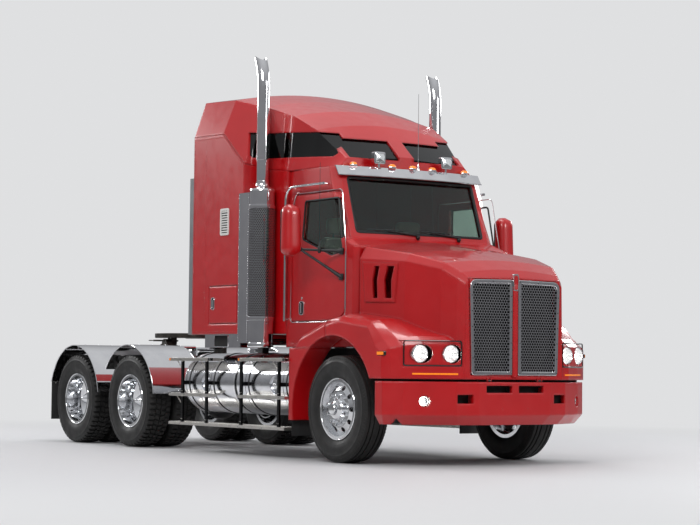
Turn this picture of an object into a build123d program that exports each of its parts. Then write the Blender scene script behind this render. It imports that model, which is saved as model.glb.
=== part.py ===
from build123d import *
import math
import os

os.makedirs("parts", exist_ok=True)

# A bonneted 6x4 prime mover with a high-roof sleeper. Millimetres, +X forward, +Y left, +Z up,
# origin on the ground in the middle of the overall box.

# Axles, tyres and wheels
front_axle_x = 2365
drive_axle_1_x = -1729
drive_axle_2_x = -3054
tyre_radius = 515
tyre_half_width = 142
tread_half_width = 118
bead_radius = 285
bead_half_width = 108
bead_seat = 0.3
rim_flange_radius = 298
rim_flange_half_width = 117
rim_barrel_radius = 262
rim_wall = 12
front_rim_y = 1019
outer_rim_y = 1075
inner_rim_y = 740
front_disc_offset = 104
hand_hole_radius = 24
hand_hole_circle = 205
hand_hole_count = 10
hub_clearance = 0.3

# Chassis frame
rail_outer_y = 432
rail_flange = 90
rail_height = 266
rail_wall = 10
rail_top = 1005
rail_rear_x = -3390
rail_front_x = 3385
cross_member_x = (3300, 800, -60, -900, -2391, -3340)
cross_member_length = 120
cross_member_height = 115
seat = 0.3

# Front axle, kingpins and springs
kingpin_y = 880
kingpin_radius = 20
kingpin_boss_radius = 46
kingpin_boss_height = 130
knuckle_ear = 34
knuckle_gap = 1
spindle_radius = 38
spindle_length = 236
front_beam_depth = 92
front_beam_height = 96
front_beam_drop = 90
spring_y = 470
spring_width = 76
spring_half_length = 690
spring_stack = 66
steer_clearance = 0.3

# Drive axles and bogie
axle_tube_radius = 66
axle_tube_half = 570
diff_radius = 215
diff_half = 150
drive_spindle_radius = 45
drive_spindle_end = 900
drum_radius = 206
drum_inner_y = 598
drum_outer_y = 800
drive_hub_radius = 92
drive_hub_end = 1010
drive_hub_cone = 1112
bogie_spring_y = 520
shaft_radius = 55

# Cab: height, rear half width, side front x, corner x, corner half width, centre front x
cab_rear_x = 1145
cab_wall = 55
cab_floor_z = 1110
cowl_z = 2090
screen_base_z = 2185
cab_roof_z = 2900
cab_sections = (
    (cab_floor_z, 950, 2330, 2365, 900, 2375),
    (cowl_z, 950, 2330, 2372, 900, 2395),
    (screen_base_z, 948, 2085, 2145, 870, 2200),
    (cab_roof_z, 915, 1850, 1910, 820, 1965),
)
cab_floor_thickness = 60

# Windscreen opening in the front, as half widths and heights
screen_low_z = 2235
screen_high_z = 2790
screen_low_half = 775
screen_high_half = 768
glass_thickness = 8

# Doors: outline and window as x and z
door_gap = 8
door_inner_limit = 855
door_outline = (
    (1235, 1372),
    (2080, 1372),
    (2185, 1450),
    (2195, 2060),
    (2085, 2640),
    (1270, 2640),
    (1235, 2500),
)
door_window = ((1440, 2575), (2040, 2575), (2145, 2040), (1950, 2010), (1420, 2190))
door_hinge_x = 2206
door_hinge_y = 951
door_hinge_z = (1475, 2035)
door_hinge_radius = 7
door_hinge_clearance = 1

# Sleeper box
sleeper_rear_x = -340
sleeper_shoulder_x = 690
sleeper_neck_x = 750
sleeper_half_width = 1200
sleeper_floor_z = 1245
sleeper_wall = 45
sleeper_side_top = 3350
sleeper_crease_x = 265
sleeper_crease_top = 3335
sleeper_crease_low = 2993
sleeper_neck_top = 2945
sleeper_front_top = 2900

# Cab and sleeper mounts on the rails, as x and height of the floor they carry
cab_mounts = ((2200, cab_floor_z), (1300, cab_floor_z), (500, sleeper_floor_z), (-200, sleeper_floor_z))

# Bunk
bunk_front_x = 500
bunk_z = 1755
mattress_thickness = 120

# Lockers in the sleeper sides
locker_x = (15, 590)
locker_z = (1350, 1750)
locker_gap = 7
locker_hinge_radius = 5

# Sleeper and cab roof: x, base half width, base z, shoulder half width, shoulder z, crown z
roof_wall = 40
roof_sections = (
    (-340, 1200, 3350, 1065, 3735, 3850),
    (265, 1200, 3335, 1050, 3705, 3830),
    (690, 1200, 2993, 940, 3600, 3715),
    (750, 950, 2945, 925, 3580, 3695),
    (1145, 940, 2900.3, 880, 3465, 3570),
    (1465, 905, 2900.3, 820, 3300, 3395),
    (1885, 820, 2900.3, 730, 2985, 3035),
)
roof_window = ((590, 3330), (1560, 3270), (1640, 3235), (1780, 3040), (1740, 3010), (700, 3060))
roof_front_window_z = (3000, 3215)
roof_front_window_y = (90, 690)

# Sun visor and the lamps standing on it
visor_end_x = 1916
visor_bow = 78
visor_half_width = 886
visor_low_z = 2808
visor_reach = 62
visor_flange = 25
marker_lamp_y = (-691, -250, 0, 250, 691)
spot_lamp_y = 416

# Bonnet nose: x, base half width, base z, low shoulder half width and z, high shoulder half width and z, crown z
bonnet_skin = 14
nose_sections = (
    (2412, 925, 1340, 925, 1960, 860, 2075, 2150),
    (3015, 835, 1160, 822, 1915, 760, 1992, 2045),
    (3415, 715, 900, 690, 1830, 640, 1893, 1935),
    (3565, 640, 812, 618, 1740, 575, 1800, 1840),
    (3632, 585, 812, 572, 1690, 540, 1738, 1765),
)
# Front fenders: half width, front x, drop of the top
fender_sections = (
    (560, 3625, 0),
    (700, 3590, 0),
    (930, 3455, 0),
    (1080, 3350, 12),
    (1165, 3265, 34),
    (1212, 3190, 84),
)
bonnet_lip_z = 812
fender_split_x = 2245
fender_split_gap = 7
fender_rear_z = 1100
fender_rear_x = 1640
quarter_rear_x = 1604
quarter_front_x = 1970
quarter_low = 390
arch_radius = 700
liner_inner_y = 620
cab_side_clear = 960

# Air scoop in each side of the bonnet, outline and slots as x and z
scoop_outline = ((2455, 1920), (2935, 1900), (2895, 1530), (2495, 1540))
scoop_lift = 14
scoop_slots = (
    ((2625, 1880), (2690, 1880), (2660, 1740), (2670, 1575), (2605, 1575), (2590, 1740)),
    ((2790, 1875), (2885, 1872), (2850, 1740), (2855, 1570), (2765, 1572), (2750, 1740)),
)

# Bonnet pivot
liner_thickness = 12
bonnet_pivot_x = 3633
bonnet_pivot_z = 802
hinge_y = 300
hinge_eye_radius = 8
hinge_pin_radius = 4
hinge_strap_width = 30
hinge_ear_width = 12

# Grille
grille_half_top = 539
grille_half_low = 514
grille_low_z = 853
grille_high_z = 1745
grille_front_x = 3648
grille_depth = 34
grille_frame = 32
grille_mesh_thickness = 6
grille_hole_pitch = 52
grille_hole_width = 43

# Head lamps
lamp_bezel_y = (600, 1080)
lamp_bezel_z = (930, 1168)
lamp_bezel_width = 12
lamp_bezel_depth = 5
lamp_radius = 88
lamp_z = 1045
lamp_depth = 70
head_lamp_table = ((3560, 688), (3425, 938))

# Bumper: outline in plan as x and half width
bumper_low = 390
bumper_high = 790
bumper_wall = 40
bumper_tuck = 55
bumper_plan = ((3655, 0), (3650, 420), (3600, 650), (3455, 930), (3350, 1080), (3200, 1205))
bumper_back_x = 3085
fog_lamp_z = 608
fog_lamp_radius = 50
plate_z = 545
plate_hole_spacing = 300
plate_hole_radius = 4

# Exhausts
exhaust_x = 885
exhaust_y = 1095
muffler_radius = 130
muffler_low = 1110
muffler_high = 2700
stack_radius = 63.5
stack_wall = 4
stack_bend_z = 3780
stack_bend_radius = 700
stack_bend_angle = 26
stack_cut_low = 110
stack_cut_high = 350
stack_cut_reach = 130
muffler_band = 5
muffler_band_height = 36
muffler_band_z = (1400, 2540)
exhaust_panel_x = (610, 810)
exhaust_panel_low = 1150
exhaust_panel_high = 2690

# Tanks and steps
tank_radius = 315
tank_y = 855
tank_z = 735
tank_spans = ((-535, 505), (545, 1595))
tank_strap_x = ((-450, 60), (760, 1480))
tank_strap_width = 50
tank_strap_thickness = 6
filler_x = (-65, 1295)
filler_recess_radius = 100
filler_recess_depth = 25
filler_cap_radius = 46
filler_cap_height = 18
step_thickness = 30
step_outer_y = 1250
step_heights = (995, 620)
step_sets = ((-735, 135), (700, 1595))
lower_step_z = 315
lower_step_x = (-735, 1595)
lower_step_inner_y = 1000

# Rear guards and flaps: axle x, end angle
guard_radius = 630
guard_thickness = 6
guard_inner_y = 600
guard_outer_y = 1240
guard_front_angle = 8
guard_table = ((drive_axle_1_x, 146), (drive_axle_2_x, 162))
flap_low = 260
flap_thickness = 10
overall_rear_x = -3655

# Fifth wheel
fifth_wheel_x = -2391
fifth_wheel_pivot_z = 1165
fifth_wheel_top = 1290
fifth_wheel_radius = 460
fifth_wheel_thickness = 50
kingpin_bore = 26

# Mirrors
mirror_x = (1735, 1895)
mirror_y = (1225, 1430)
mirror_z = (1990, 2500)
mirror_arm_x = (1840, 2150)
mirror_arm_z = (2040, 1790)

# Grab rails beside and over each door
rail_x = 1185
rail_y = 1000
rail_z = (1372, 2722)
rail_front_end_x = 1878
rail_bend = 140
rail_radius = 14
rail_foot_radius = 10
rail_feet = ((rail_x, 1392), (rail_x, 2050), (1400, rail_z[1]), (1860, rail_z[1]))


def block(x_low, x_high, y_low, y_high, z_low, z_high):
    size = (x_high - x_low, y_high - y_low, z_high - z_low)
    centre = ((x_low + x_high) / 2, (y_low + y_high) / 2, (z_low + z_high) / 2)
    return Pos(*centre) * Box(*size)


def prism_xz(points, y_low, y_high):
    outline = Polyline(*[(x, y_low, z) for x, z in points], close=True)
    return extrude(make_face(outline), amount=y_high - y_low, dir=(0, 1, 0))


def prism_xy(points, z_low, z_high):
    outline = Polyline(*[(x, y, z_low) for x, y in points], close=True)
    return extrude(make_face(outline), amount=z_high - z_low, dir=(0, 0, 1))


def prism_yz(points, x_low, x_high):
    outline = Polyline(*[(x_low, y, z) for y, z in points], close=True)
    return extrude(make_face(outline), amount=x_high - x_low, dir=(1, 0, 0))


def rod(start, end, radius):
    path = Vector(*end) - Vector(*start)
    middle = (Vector(*start) + Vector(*end)) * 0.5
    return Plane(origin=middle, z_dir=path) * Cylinder(radius, path.length)


def disc_y(x, z, y_low, y_high, radius):
    return rod((x, y_low, z), (x, y_high, z), radius)


def left(shape):
    return mirror(shape, about=Plane.XZ)


def both(shape):
    return [shape, left(shape)]


def save(node, *shapes):
    solids = [solid for shape in shapes for solid in shape.solids()]
    export_step(Compound(solids), f"parts/{node}.step")


def revolve_y(profile, x, z):
    """Turn a closed outline of (radius, y) points about the wheel's axis through x, z."""
    outline = Polyline(*[(0, y, radius) for radius, y in profile], close=True)
    return Pos(x, 0, z) * revolve(make_face(outline), Axis.Y, 360)


def tyre(x, centre_y):
    half = (
        (bead_radius, bead_half_width - bead_seat),
        (rim_flange_radius + 1, bead_half_width - bead_seat),
        (bead_radius + 45, tyre_half_width - 10),
        (bead_radius + 115, tyre_half_width),
        (tyre_radius - 45, tyre_half_width - 4),
        (tyre_radius - 6, tread_half_width),
        (tyre_radius, tread_half_width - 22),
    )
    outer = [(radius, centre_y + y) for radius, y in half]
    inner = [(radius, centre_y - y) for radius, y in reversed(half)]
    return revolve_y(outer + inner, x, tyre_radius)


def rim_barrel(centre_y):
    """Outline of the rim's barrel with its two flanges, as (radius, y)."""
    wall = rim_barrel_radius + rim_wall
    flange = rim_flange_half_width
    return [
        (rim_barrel_radius, centre_y - flange),
        (rim_flange_radius, centre_y - flange),
        (rim_flange_radius, centre_y - bead_half_width),
        (wall, centre_y - bead_half_width),
        (wall, centre_y + bead_half_width),
        (rim_flange_radius, centre_y + bead_half_width),
        (rim_flange_radius, centre_y + flange),
        (rim_barrel_radius, centre_y + flange),
    ]


def hand_holes(x, y_low, y_high):
    holes = []
    for index in range(hand_hole_count):
        angle = math.radians(360 / hand_hole_count * index)
        hole_x = x + hand_hole_circle * math.cos(angle)
        hole_z = tyre_radius + hand_hole_circle * math.sin(angle)
        holes.append(disc_y(hole_x, hole_z, y_low, y_high, hand_hole_radius))
    return holes


def front_wheel(x):
    """Left front wheel: barrel, domed disc, hub with its spindle bore, and brake drum."""
    face = front_rim_y + front_disc_offset
    barrel = revolve_y(rim_barrel(front_rim_y), x, tyre_radius)
    disc = revolve_y(
        [
            (spindle_radius + hub_clearance, face - 24),
            (165, face - 24),
            (rim_barrel_radius + 2, front_rim_y + 30),
            (rim_barrel_radius + 2, front_rim_y + 60),
            (180, face),
            (spindle_radius + hub_clearance, face),
        ],
        x,
        tyre_radius,
    )
    hub = revolve_y(
        [
            (spindle_radius + hub_clearance, 980),
            (95, 980),
            (95, face + 26),
            (60, face + 34),
            (48, face + 74),
            (0, face + 80),
            (0, kingpin_y + spindle_length + 6),
            (spindle_radius + hub_clearance, kingpin_y + spindle_length + 6),
        ],
        x,
        tyre_radius,
    )
    wheel = barrel + (disc - hand_holes(x, face - 120, face + 60)) + hub
    return wheel


def drive_wheel(x):
    """Left pair of drive rims on one hub, with the brake drum inside the inner rim."""
    middle = (outer_rim_y + inner_rim_y) / 2
    barrels = revolve_y(rim_barrel(outer_rim_y), x, tyre_radius)
    barrels += revolve_y(rim_barrel(inner_rim_y), x, tyre_radius)
    bore = drive_spindle_radius + hub_clearance
    disc = revolve_y(
        [
            (bore, middle - 24),
            (180, middle - 24),
            (rim_barrel_radius + 2, inner_rim_y + 62),
            (rim_barrel_radius + 2, inner_rim_y + 92),
            (200, middle),
            (rim_barrel_radius + 2, outer_rim_y - 92),
            (rim_barrel_radius + 2, outer_rim_y - 62),
            (180, middle + 24),
            (bore, middle + 24),
        ],
        x,
        tyre_radius,
    )
    hub = revolve_y(
        [
            (bore, drum_outer_y - 20),
            (drum_radius, drum_outer_y - 20),
            (drum_radius, drum_outer_y),
            (drive_hub_radius, drum_outer_y),
            (drive_hub_radius, drive_hub_end),
            (drive_hub_radius - 30, drive_hub_end + 14),
            (16, drive_hub_cone),
            (0, drive_hub_cone),
            (0, drive_spindle_end + 6),
            (bore, drive_spindle_end + 6),
        ],
        x,
        tyre_radius,
    )
    drum = revolve_y(
        [
            (drum_radius - 14, drum_inner_y),
            (drum_radius, drum_inner_y),
            (drum_radius, drum_outer_y - 20),
            (drum_radius - 14, drum_outer_y - 20),
        ],
        x,
        tyre_radius,
    )
    return barrels + (disc - hand_holes(x, middle - 120, middle + 120)) + hub + drum


def build_wheels():
    wheel = front_wheel(front_axle_x)
    rubber = tyre(front_axle_x, front_rim_y)
    save("rim_front_left", wheel)
    save("rim_front_right", left(wheel))
    save("tyre_front_left", rubber)
    save("tyre_front_right", left(rubber))
    for number, x in ((1, drive_axle_1_x), (2, drive_axle_2_x)):
        pair = drive_wheel(x)
        outer_tyre = tyre(x, outer_rim_y)
        inner_tyre = tyre(x, inner_rim_y)
        save(f"rims_rear_{number}_left", pair)
        save(f"rims_rear_{number}_right", left(pair))
        save(f"tyres_rear_{number}_left", outer_tyre, inner_tyre)
        save(f"tyres_rear_{number}_right", left(outer_tyre), left(inner_tyre))


def build_frame():
    rail_low = rail_top - rail_height
    inner_y = rail_outer_y - rail_flange
    rail = block(rail_rear_x, rail_front_x, inner_y, rail_outer_y, rail_low, rail_top)
    web_y = rail_outer_y - rail_wall
    rail -= block(
        rail_rear_x, rail_front_x, inner_y, web_y, rail_low + rail_wall, rail_top - rail_wall
    )
    member_y = web_y - seat
    member_high = rail_top - rail_wall - seat
    members = []
    for x in cross_member_x:
        high = member_high
        low = high - cross_member_height
        member = block(x - cross_member_length / 2, x + cross_member_length / 2, -member_y, member_y, low, high)
        member -= block(
            x - cross_member_length / 2 + rail_wall,
            x + cross_member_length / 2,
            -inner_y,
            inner_y,
            low + rail_wall,
            high - rail_wall,
        )
        members.append(member)
    nose = block(
        rail_front_x - 70, rail_front_x - 50, -member_y, member_y, rail_low + rail_wall + seat, member_high
    )
    nose -= block(
        cross_member_x[0] - cross_member_length / 2 - seat,
        cross_member_x[0] + cross_member_length / 2 + seat,
        -member_y,
        member_y,
        member_high - cross_member_height - seat,
        rail_top,
    )
    for side in (-1, 1):
        y = side * hinge_y
        strap = block(
            rail_front_x - 60,
            bonnet_pivot_x,
            y - hinge_strap_width / 2,
            y + hinge_strap_width / 2,
            bonnet_pivot_z - hinge_eye_radius / 2,
            bonnet_pivot_z + hinge_eye_radius / 2,
        )
        strap += disc_y(
            bonnet_pivot_x,
            bonnet_pivot_z,
            y - hinge_strap_width / 2,
            y + hinge_strap_width / 2,
            hinge_eye_radius,
        )
        strap += disc_y(
            bonnet_pivot_x,
            bonnet_pivot_z,
            y - hinge_strap_width / 2 - hinge_ear_width - 2,
            y + hinge_strap_width / 2 + hinge_ear_width + 2,
            hinge_pin_radius,
        )
        nose += strap
    for x, top in cab_mounts:
        rail += block(x - 50, x + 50, rail_outer_y - 82, rail_outer_y - 2, rail_top, top - seat)
    save("frame_rails", rail, left(rail), nose, *members)


def build_front_axle():
    """Dropped I beam with a boss for each kingpin."""
    z = tyre_radius
    low = z - front_beam_drop
    half = front_beam_height / 2
    points = [
        (-kingpin_y, z + half),
        (-kingpin_y + 60, z + half),
        (-560, low + half),
        (560, low + half),
        (kingpin_y - 60, z + half),
        (kingpin_y, z + half),
        (kingpin_y, z - half),
        (kingpin_y - 90, z - half),
        (590, low - half),
        (-590, low - half),
        (-kingpin_y + 90, z - half),
        (-kingpin_y, z - half),
    ]
    x = front_axle_x
    beam = prism_yz(points, x - front_beam_depth / 2, x + front_beam_depth / 2)
    for side in (-1, 1):
        y = side * kingpin_y
        low_z = z - kingpin_boss_height / 2
        high_z = z + kingpin_boss_height / 2
        beam -= block(x - 80, x + 80, y - kingpin_boss_radius, y + kingpin_boss_radius, low_z, high_z)
        beam += rod((x, y, low_z), (x, y, high_z), kingpin_boss_radius)
        beam += block(
            x - 34,
            x + 34,
            min(side * (kingpin_y - 90), side * (kingpin_y - 30)),
            max(side * (kingpin_y - 90), side * (kingpin_y - 30)),
            z - half,
            z + half,
        )
        beam -= rod((x, y, low_z - 5), (x, y, high_z + 5), kingpin_radius + steer_clearance)
    save("front_axle_beam", beam)


def build_knuckles():
    """Steering knuckle: two ears on the kingpin, an upright and the wheel's spindle."""
    x = front_axle_x
    z = tyre_radius
    half = kingpin_boss_height / 2 + knuckle_gap
    knuckle = rod((x, kingpin_y, z - half - knuckle_ear), (x, kingpin_y, z + half + knuckle_ear), kingpin_radius)
    for sign in (-1, 1):
        ear_low = z + sign * half
        ear_high = z + sign * (half + knuckle_ear)
        knuckle += rod((x, kingpin_y, ear_low), (x, kingpin_y, ear_high), 42)
        knuckle += block(x - 42, x + 42, kingpin_y, kingpin_y + 88, min(ear_low, ear_high), max(ear_low, ear_high))
    upright = block(
        x - 42, x + 42, kingpin_y + 54, kingpin_y + 88, z - half - knuckle_ear, z + half + knuckle_ear
    )
    knuckle += upright
    knuckle += disc_y(x, z, kingpin_y + 60, kingpin_y + spindle_length, spindle_radius)
    save("knuckle_left", knuckle)
    save("knuckle_right", left(knuckle))


def build_suspension():
    """Leaf packs of the front axle, and the bogie's air bags, arms and spring seats."""
    pieces = []
    beam_top = tyre_radius - front_beam_drop + front_beam_height / 2
    for side in (-1, 1):
        y = side * spring_y
        leaf = block(
            front_axle_x - spring_half_length,
            front_axle_x + spring_half_length,
            y - spring_width / 2,
            y + spring_width / 2,
            beam_top + 30,
            beam_top + 30 + spring_stack / 2,
        )
        leaf += block(
            front_axle_x - spring_half_length * 0.6,
            front_axle_x + spring_half_length * 0.6,
            y - spring_width / 2,
            y + spring_width / 2,
            beam_top + 30 - spring_stack / 3,
            beam_top + 30,
        )
        leaf += block(front_axle_x - 60, front_axle_x + 60, y - 45, y + 45, beam_top, beam_top + 30)
        for end in (-1, 1):
            hanger_x = front_axle_x + end * (spring_half_length - 40)
            leaf += block(
                hanger_x - 40,
                hanger_x + 40,
                y - spring_width / 2,
                y + spring_width / 2,
                beam_top + 30,
                rail_top - rail_height,
            )
        pieces.append(leaf)
        for axle_x in (drive_axle_1_x, drive_axle_2_x):
            seat_y = side * (rail_outer_y - rail_flange / 2)
            arm = block(
                axle_x - 330,
                axle_x + 330,
                seat_y - 40,
                seat_y + 40,
                tyre_radius + axle_tube_radius + seat,
                tyre_radius + axle_tube_radius + 48,
            )
            arm += rod(
                (axle_x - 240, seat_y, tyre_radius + axle_tube_radius + 48),
                (axle_x - 240, seat_y, rail_top - rail_height),
                115,
            )
            arm += block(
                axle_x + 250,
                axle_x + 330,
                seat_y - 40,
                seat_y + 40,
                tyre_radius + axle_tube_radius + 48,
                rail_top - rail_height,
            )
            pieces.append(arm)
    save("suspension", *pieces)


def build_drive_axles():
    """Two axle housings with their differentials, joined by the inter-axle shaft, and the main shaft."""
    shape = None
    for axle_x in (drive_axle_1_x, drive_axle_2_x):
        z = tyre_radius
        housing = disc_y(axle_x, z, -axle_tube_half, axle_tube_half, axle_tube_radius)
        housing += disc_y(axle_x, z, -drive_spindle_end, drive_spindle_end, drive_spindle_radius)
        bowl = Pos(axle_x, 0, z) * Sphere(diff_radius)
        bowl -= block(axle_x - 400, axle_x + 400, -400, -diff_half, z - 400, z + 400)
        bowl -= block(axle_x - 400, axle_x + 400, diff_half, 400, z - 400, z + 400)
        bowl += rod((axle_x + 100, 0, z + 40), (axle_x + 330, 0, z + 40), 95)
        housing += bowl
        shape = housing if shape is None else shape + housing
    shape += rod(
        (drive_axle_2_x + 300, 0, tyre_radius + 40), (drive_axle_1_x - 100, 0, tyre_radius + 40), shaft_radius
    )
    shape += rod(
        (drive_axle_1_x + 300, 0, tyre_radius + 40), (gearbox_rear_x - 10, 0, gearbox_z), shaft_radius
    )
    save("drive_axles", shape)


# Engine, gearbox and radiator
engine_x = (2425, 3225)
bell_x = 1950
bell_half_width = 300
bell_top = 1095
engine_half_width = 380
engine_z = (760, 1830)
sump_z = 620
gearbox_rear_x = 1000
gearbox_z = 820
gearbox_radius = 210
radiator_x = (3290, 3385)
radiator_half_width = 490
radiator_top = 1690


def build_engine():
    """Engine with its sump, bell housing and gearbox as plain blocks, and the radiator on the rails."""
    x_low, x_high = engine_x
    z_low, z_high = engine_z
    engine = block(x_low, x_high, -engine_half_width, engine_half_width, rail_top + 20, z_high)
    engine += block(x_low, x_high, -engine_half_width + 110, engine_half_width - 110, z_low, rail_top + 20)
    engine += block(x_low + 100, x_high - 100, -190, 190, sump_z, z_low)
    engine += block(bell_x, x_low, -bell_half_width, bell_half_width, z_low - 60, bell_top)
    engine += rod((gearbox_rear_x, 0, gearbox_z), (bell_x, 0, gearbox_z), gearbox_radius)
    mount_y = rail_outer_y - rail_wall
    engine += block(2550, 2700, -mount_y, mount_y, 880, 960)
    save("engine_block", engine)
    radiator = block(
        radiator_x[0], radiator_x[1], -radiator_half_width, radiator_half_width, rail_top + seat, radiator_top
    )
    save("radiator", radiator)


def cab_section(row, inset, height=None):
    z, half, side_x, corner_x, corner_half, centre_x = row
    level = z if height is None else height
    rear = cab_rear_x
    start = (corner_x - inset, corner_half - inset, level)
    end = (corner_x - inset, -(corner_half - inset), level)
    top = (centre_x - inset, 0, level)
    sides = Polyline(
        end,
        (side_x - inset, -(half - inset), level),
        (rear, -(half - inset), level),
        (rear, half - inset, level),
        (side_x - inset, half - inset, level),
        start,
    )
    return make_face([sides, ThreePointArc(start, top, end)])


def cab_volume(inset, roof_inset=0):
    """The cab's form inset by a wall, lofted from height to height."""
    faces = [cab_section(row, inset) for row in cab_sections]
    shape = None
    for lower, upper in zip(faces, faces[1:]):
        piece = loft([lower, upper], ruled=True)
        shape = piece if shape is None else shape + piece
    if roof_inset:
        shape -= block(0, 4000, -1500, 1500, cab_roof_z - roof_inset, cab_roof_z + 10)
    return shape


def grown(points, distance):
    """Move an outline's points out from its middle by a distance along both axes."""
    middle_x = (min(x for x, z in points) + max(x for x, z in points)) / 2
    middle_z = (min(z for x, z in points) + max(z for x, z in points)) / 2
    return [
        (x + math.copysign(distance, x - middle_x), z + math.copysign(distance, z - middle_z)) for x, z in points
    ]


def screen_prism(margin):
    points = [
        (-screen_low_half - margin, screen_low_z - margin),
        (screen_low_half + margin, screen_low_z - margin),
        (screen_high_half + margin, screen_high_z + margin),
        (-screen_high_half - margin, screen_high_z + margin),
    ]
    return prism_yz(points, 1700, 2600)


def build_cab():
    outer = cab_volume(0)
    inner = cab_volume(cab_wall, cab_wall)
    inner -= block(0, 4000, -1500, 1500, cab_floor_z - 10, cab_floor_z + cab_floor_thickness)
    shell = outer - inner
    shell -= screen_prism(0)
    doorway = prism_xz(grown(door_outline, door_gap), -1300, -door_inner_limit)
    hinge_low, hinge_high = door_hinge_z
    groove = rod(
        (door_hinge_x, -door_hinge_y, hinge_low - door_hinge_clearance),
        (door_hinge_x, -door_hinge_y, hinge_high + door_hinge_clearance),
        door_hinge_radius + door_hinge_clearance,
    )
    doorway += groove
    doorway += block(
        door_hinge_x - 2 * door_gap - 8,
        door_hinge_x,
        -door_hinge_y - door_hinge_radius,
        -door_hinge_y + door_hinge_radius - door_hinge_clearance,
        hinge_low - door_hinge_clearance,
        hinge_high + door_hinge_clearance,
    )
    shell -= doorway
    shell -= left(doorway)
    save("cab_shell", shell)

    wall = outer - inner
    screen = (cab_volume(20) - cab_volume(20 + glass_thickness)) & screen_prism(0)

    door_skin = wall & prism_xz(door_outline, -1300, -door_inner_limit)
    window = prism_xz(door_window, -1300, -door_inner_limit)
    door = door_skin - window
    door += rod(
        (door_hinge_x, -door_hinge_y, hinge_low), (door_hinge_x, -door_hinge_y, hinge_high), door_hinge_radius
    )
    door += block(
        door_hinge_x - 2 * door_gap - 8, door_hinge_x, -door_hinge_y + 1, -door_hinge_y + 5, hinge_low, hinge_high
    )
    pane = (cab_volume(24) - cab_volume(24 + glass_thickness)) & window
    mirror_set = build_mirror()
    for side, change in (("right", lambda shape: shape), ("left", left)):
        save(f"door_{side}", change(door))
        save(f"door_glass_{side}", change(pane))
        save(f"mirror_{side}", change(mirror_set))
    return screen


def build_mirror():
    """Right mirror: a tall housing on two arms from the door's front edge."""
    x_low, x_high = mirror_x
    y_low, y_high = mirror_y
    z_low, z_high = mirror_z
    middle = ((x_low + x_high) / 2, -(y_low + y_high) / 2, z_low)
    outline = Pos(*middle) * RectangleRounded(x_high - x_low, y_high - y_low, 60)
    housing = extrude(outline, amount=z_high - z_low, dir=(0, 0, 1))
    pad_y = -(cab_sections[0][1] + seat)
    arm_start = (mirror_arm_x[0], -1290, 2060)
    arms = None
    for z in mirror_arm_z:
        pad_x = mirror_arm_x[1]
        arm = block(pad_x - 30, pad_x + 30, pad_y - 24, pad_y, z - 32, z + 32)
        arm += rod(arm_start, (pad_x, pad_y - 12, z), 13)
        arms = arm if arms is None else arms + arm
    return housing + arms


def build_cab_interior():
    """Dashboard with the steering wheel, two seats, the engine tunnel and the bunk."""
    floor = cab_floor_z + cab_floor_thickness
    dash = block(2040, 2290, -860, 860, 1780, 2080)
    dash += block(2100, 2290, -240, 240, floor, 1780)
    column = rod((2060, -430, 1850), (1869, -430, 1998.5), 28)
    wheel_plane = Plane(origin=(1872, -430, 1996), z_dir=(-180, 0, 140))
    steering = wheel_plane * Torus(225, 15)
    steering += wheel_plane * Box(60, 450, 14)
    dash += column + steering
    pieces = [dash]
    for y in (-430, 430):
        seat = block(1330, 1800, y - 250, y + 250, 1560, 1680)
        seat += block(1250, 1380, y - 240, y + 240, 1640, 2250)
        seat += block(1400, 1700, y - 170, y + 170, floor, 1560)
        seat += block(1265, 1365, y - 140, y + 140, 2250, 2440)
        pieces.append(seat)
    save("cab_interior", *pieces)
    half = sleeper_half_width - sleeper_wall
    rear = sleeper_rear_x + sleeper_wall
    floor = sleeper_floor_z + sleeper_wall
    bunk = block(rear, bunk_front_x, -half, half, bunk_z, bunk_z + mattress_thickness)
    bunk += block(bunk_front_x - 30, bunk_front_x - 10, -half, half, floor, bunk_z)
    save("bunk", bunk)


def sleeper_plan(inset):
    half = sleeper_half_width - inset
    neck = cab_sections[0][1] - inset
    return [
        (sleeper_rear_x + inset, -half),
        (sleeper_rear_x + inset, half),
        (sleeper_shoulder_x - inset, half),
        (sleeper_neck_x - inset, neck),
        (cab_rear_x, neck),
        (cab_rear_x, -neck),
        (sleeper_neck_x - inset, -neck),
        (sleeper_shoulder_x - inset, -half),
    ]


def sleeper_profile(inset):
    return [
        (sleeper_rear_x - 10, sleeper_floor_z + inset),
        (cab_rear_x + 10, sleeper_floor_z + inset),
        (cab_rear_x + 10, sleeper_front_top),
        (cab_rear_x, sleeper_front_top),
        (sleeper_neck_x, sleeper_neck_top),
        (sleeper_shoulder_x, sleeper_crease_low),
        (sleeper_crease_x, sleeper_crease_top),
        (sleeper_rear_x - 10, sleeper_side_top),
    ]


def build_sleeper():
    outer = prism_xy(sleeper_plan(0), sleeper_floor_z, sleeper_side_top)
    outer &= prism_xz(sleeper_profile(0), -1400, 1400)
    inner = prism_xy(sleeper_plan(sleeper_wall), sleeper_floor_z + sleeper_wall, sleeper_side_top + 10)
    shell = outer - inner
    x_low, x_high = locker_x
    z_low, z_high = locker_z
    hatch = block(x_low, x_high, -1250, -sleeper_half_width + sleeper_wall + 5, z_low, z_high)
    lid = block(
        x_low + locker_gap,
        x_high - locker_gap,
        -sleeper_half_width,
        -sleeper_half_width + sleeper_wall,
        z_low + locker_gap,
        z_high - locker_gap,
    )
    lid += rod(
        (x_high - locker_gap, -sleeper_half_width, z_low + 30),
        (x_high - locker_gap, -sleeper_half_width, z_high - 30),
        locker_hinge_radius,
    )
    shell = shell - hatch - left(hatch)
    save("sleeper_body", shell)
    save("locker_door_right", lid)
    save("locker_door_left", left(lid))
    extender = block(sleeper_rear_x - 105, sleeper_rear_x, 1150, 1185, 1245, 2920)
    save("rear_extenders", *both(extender))


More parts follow.
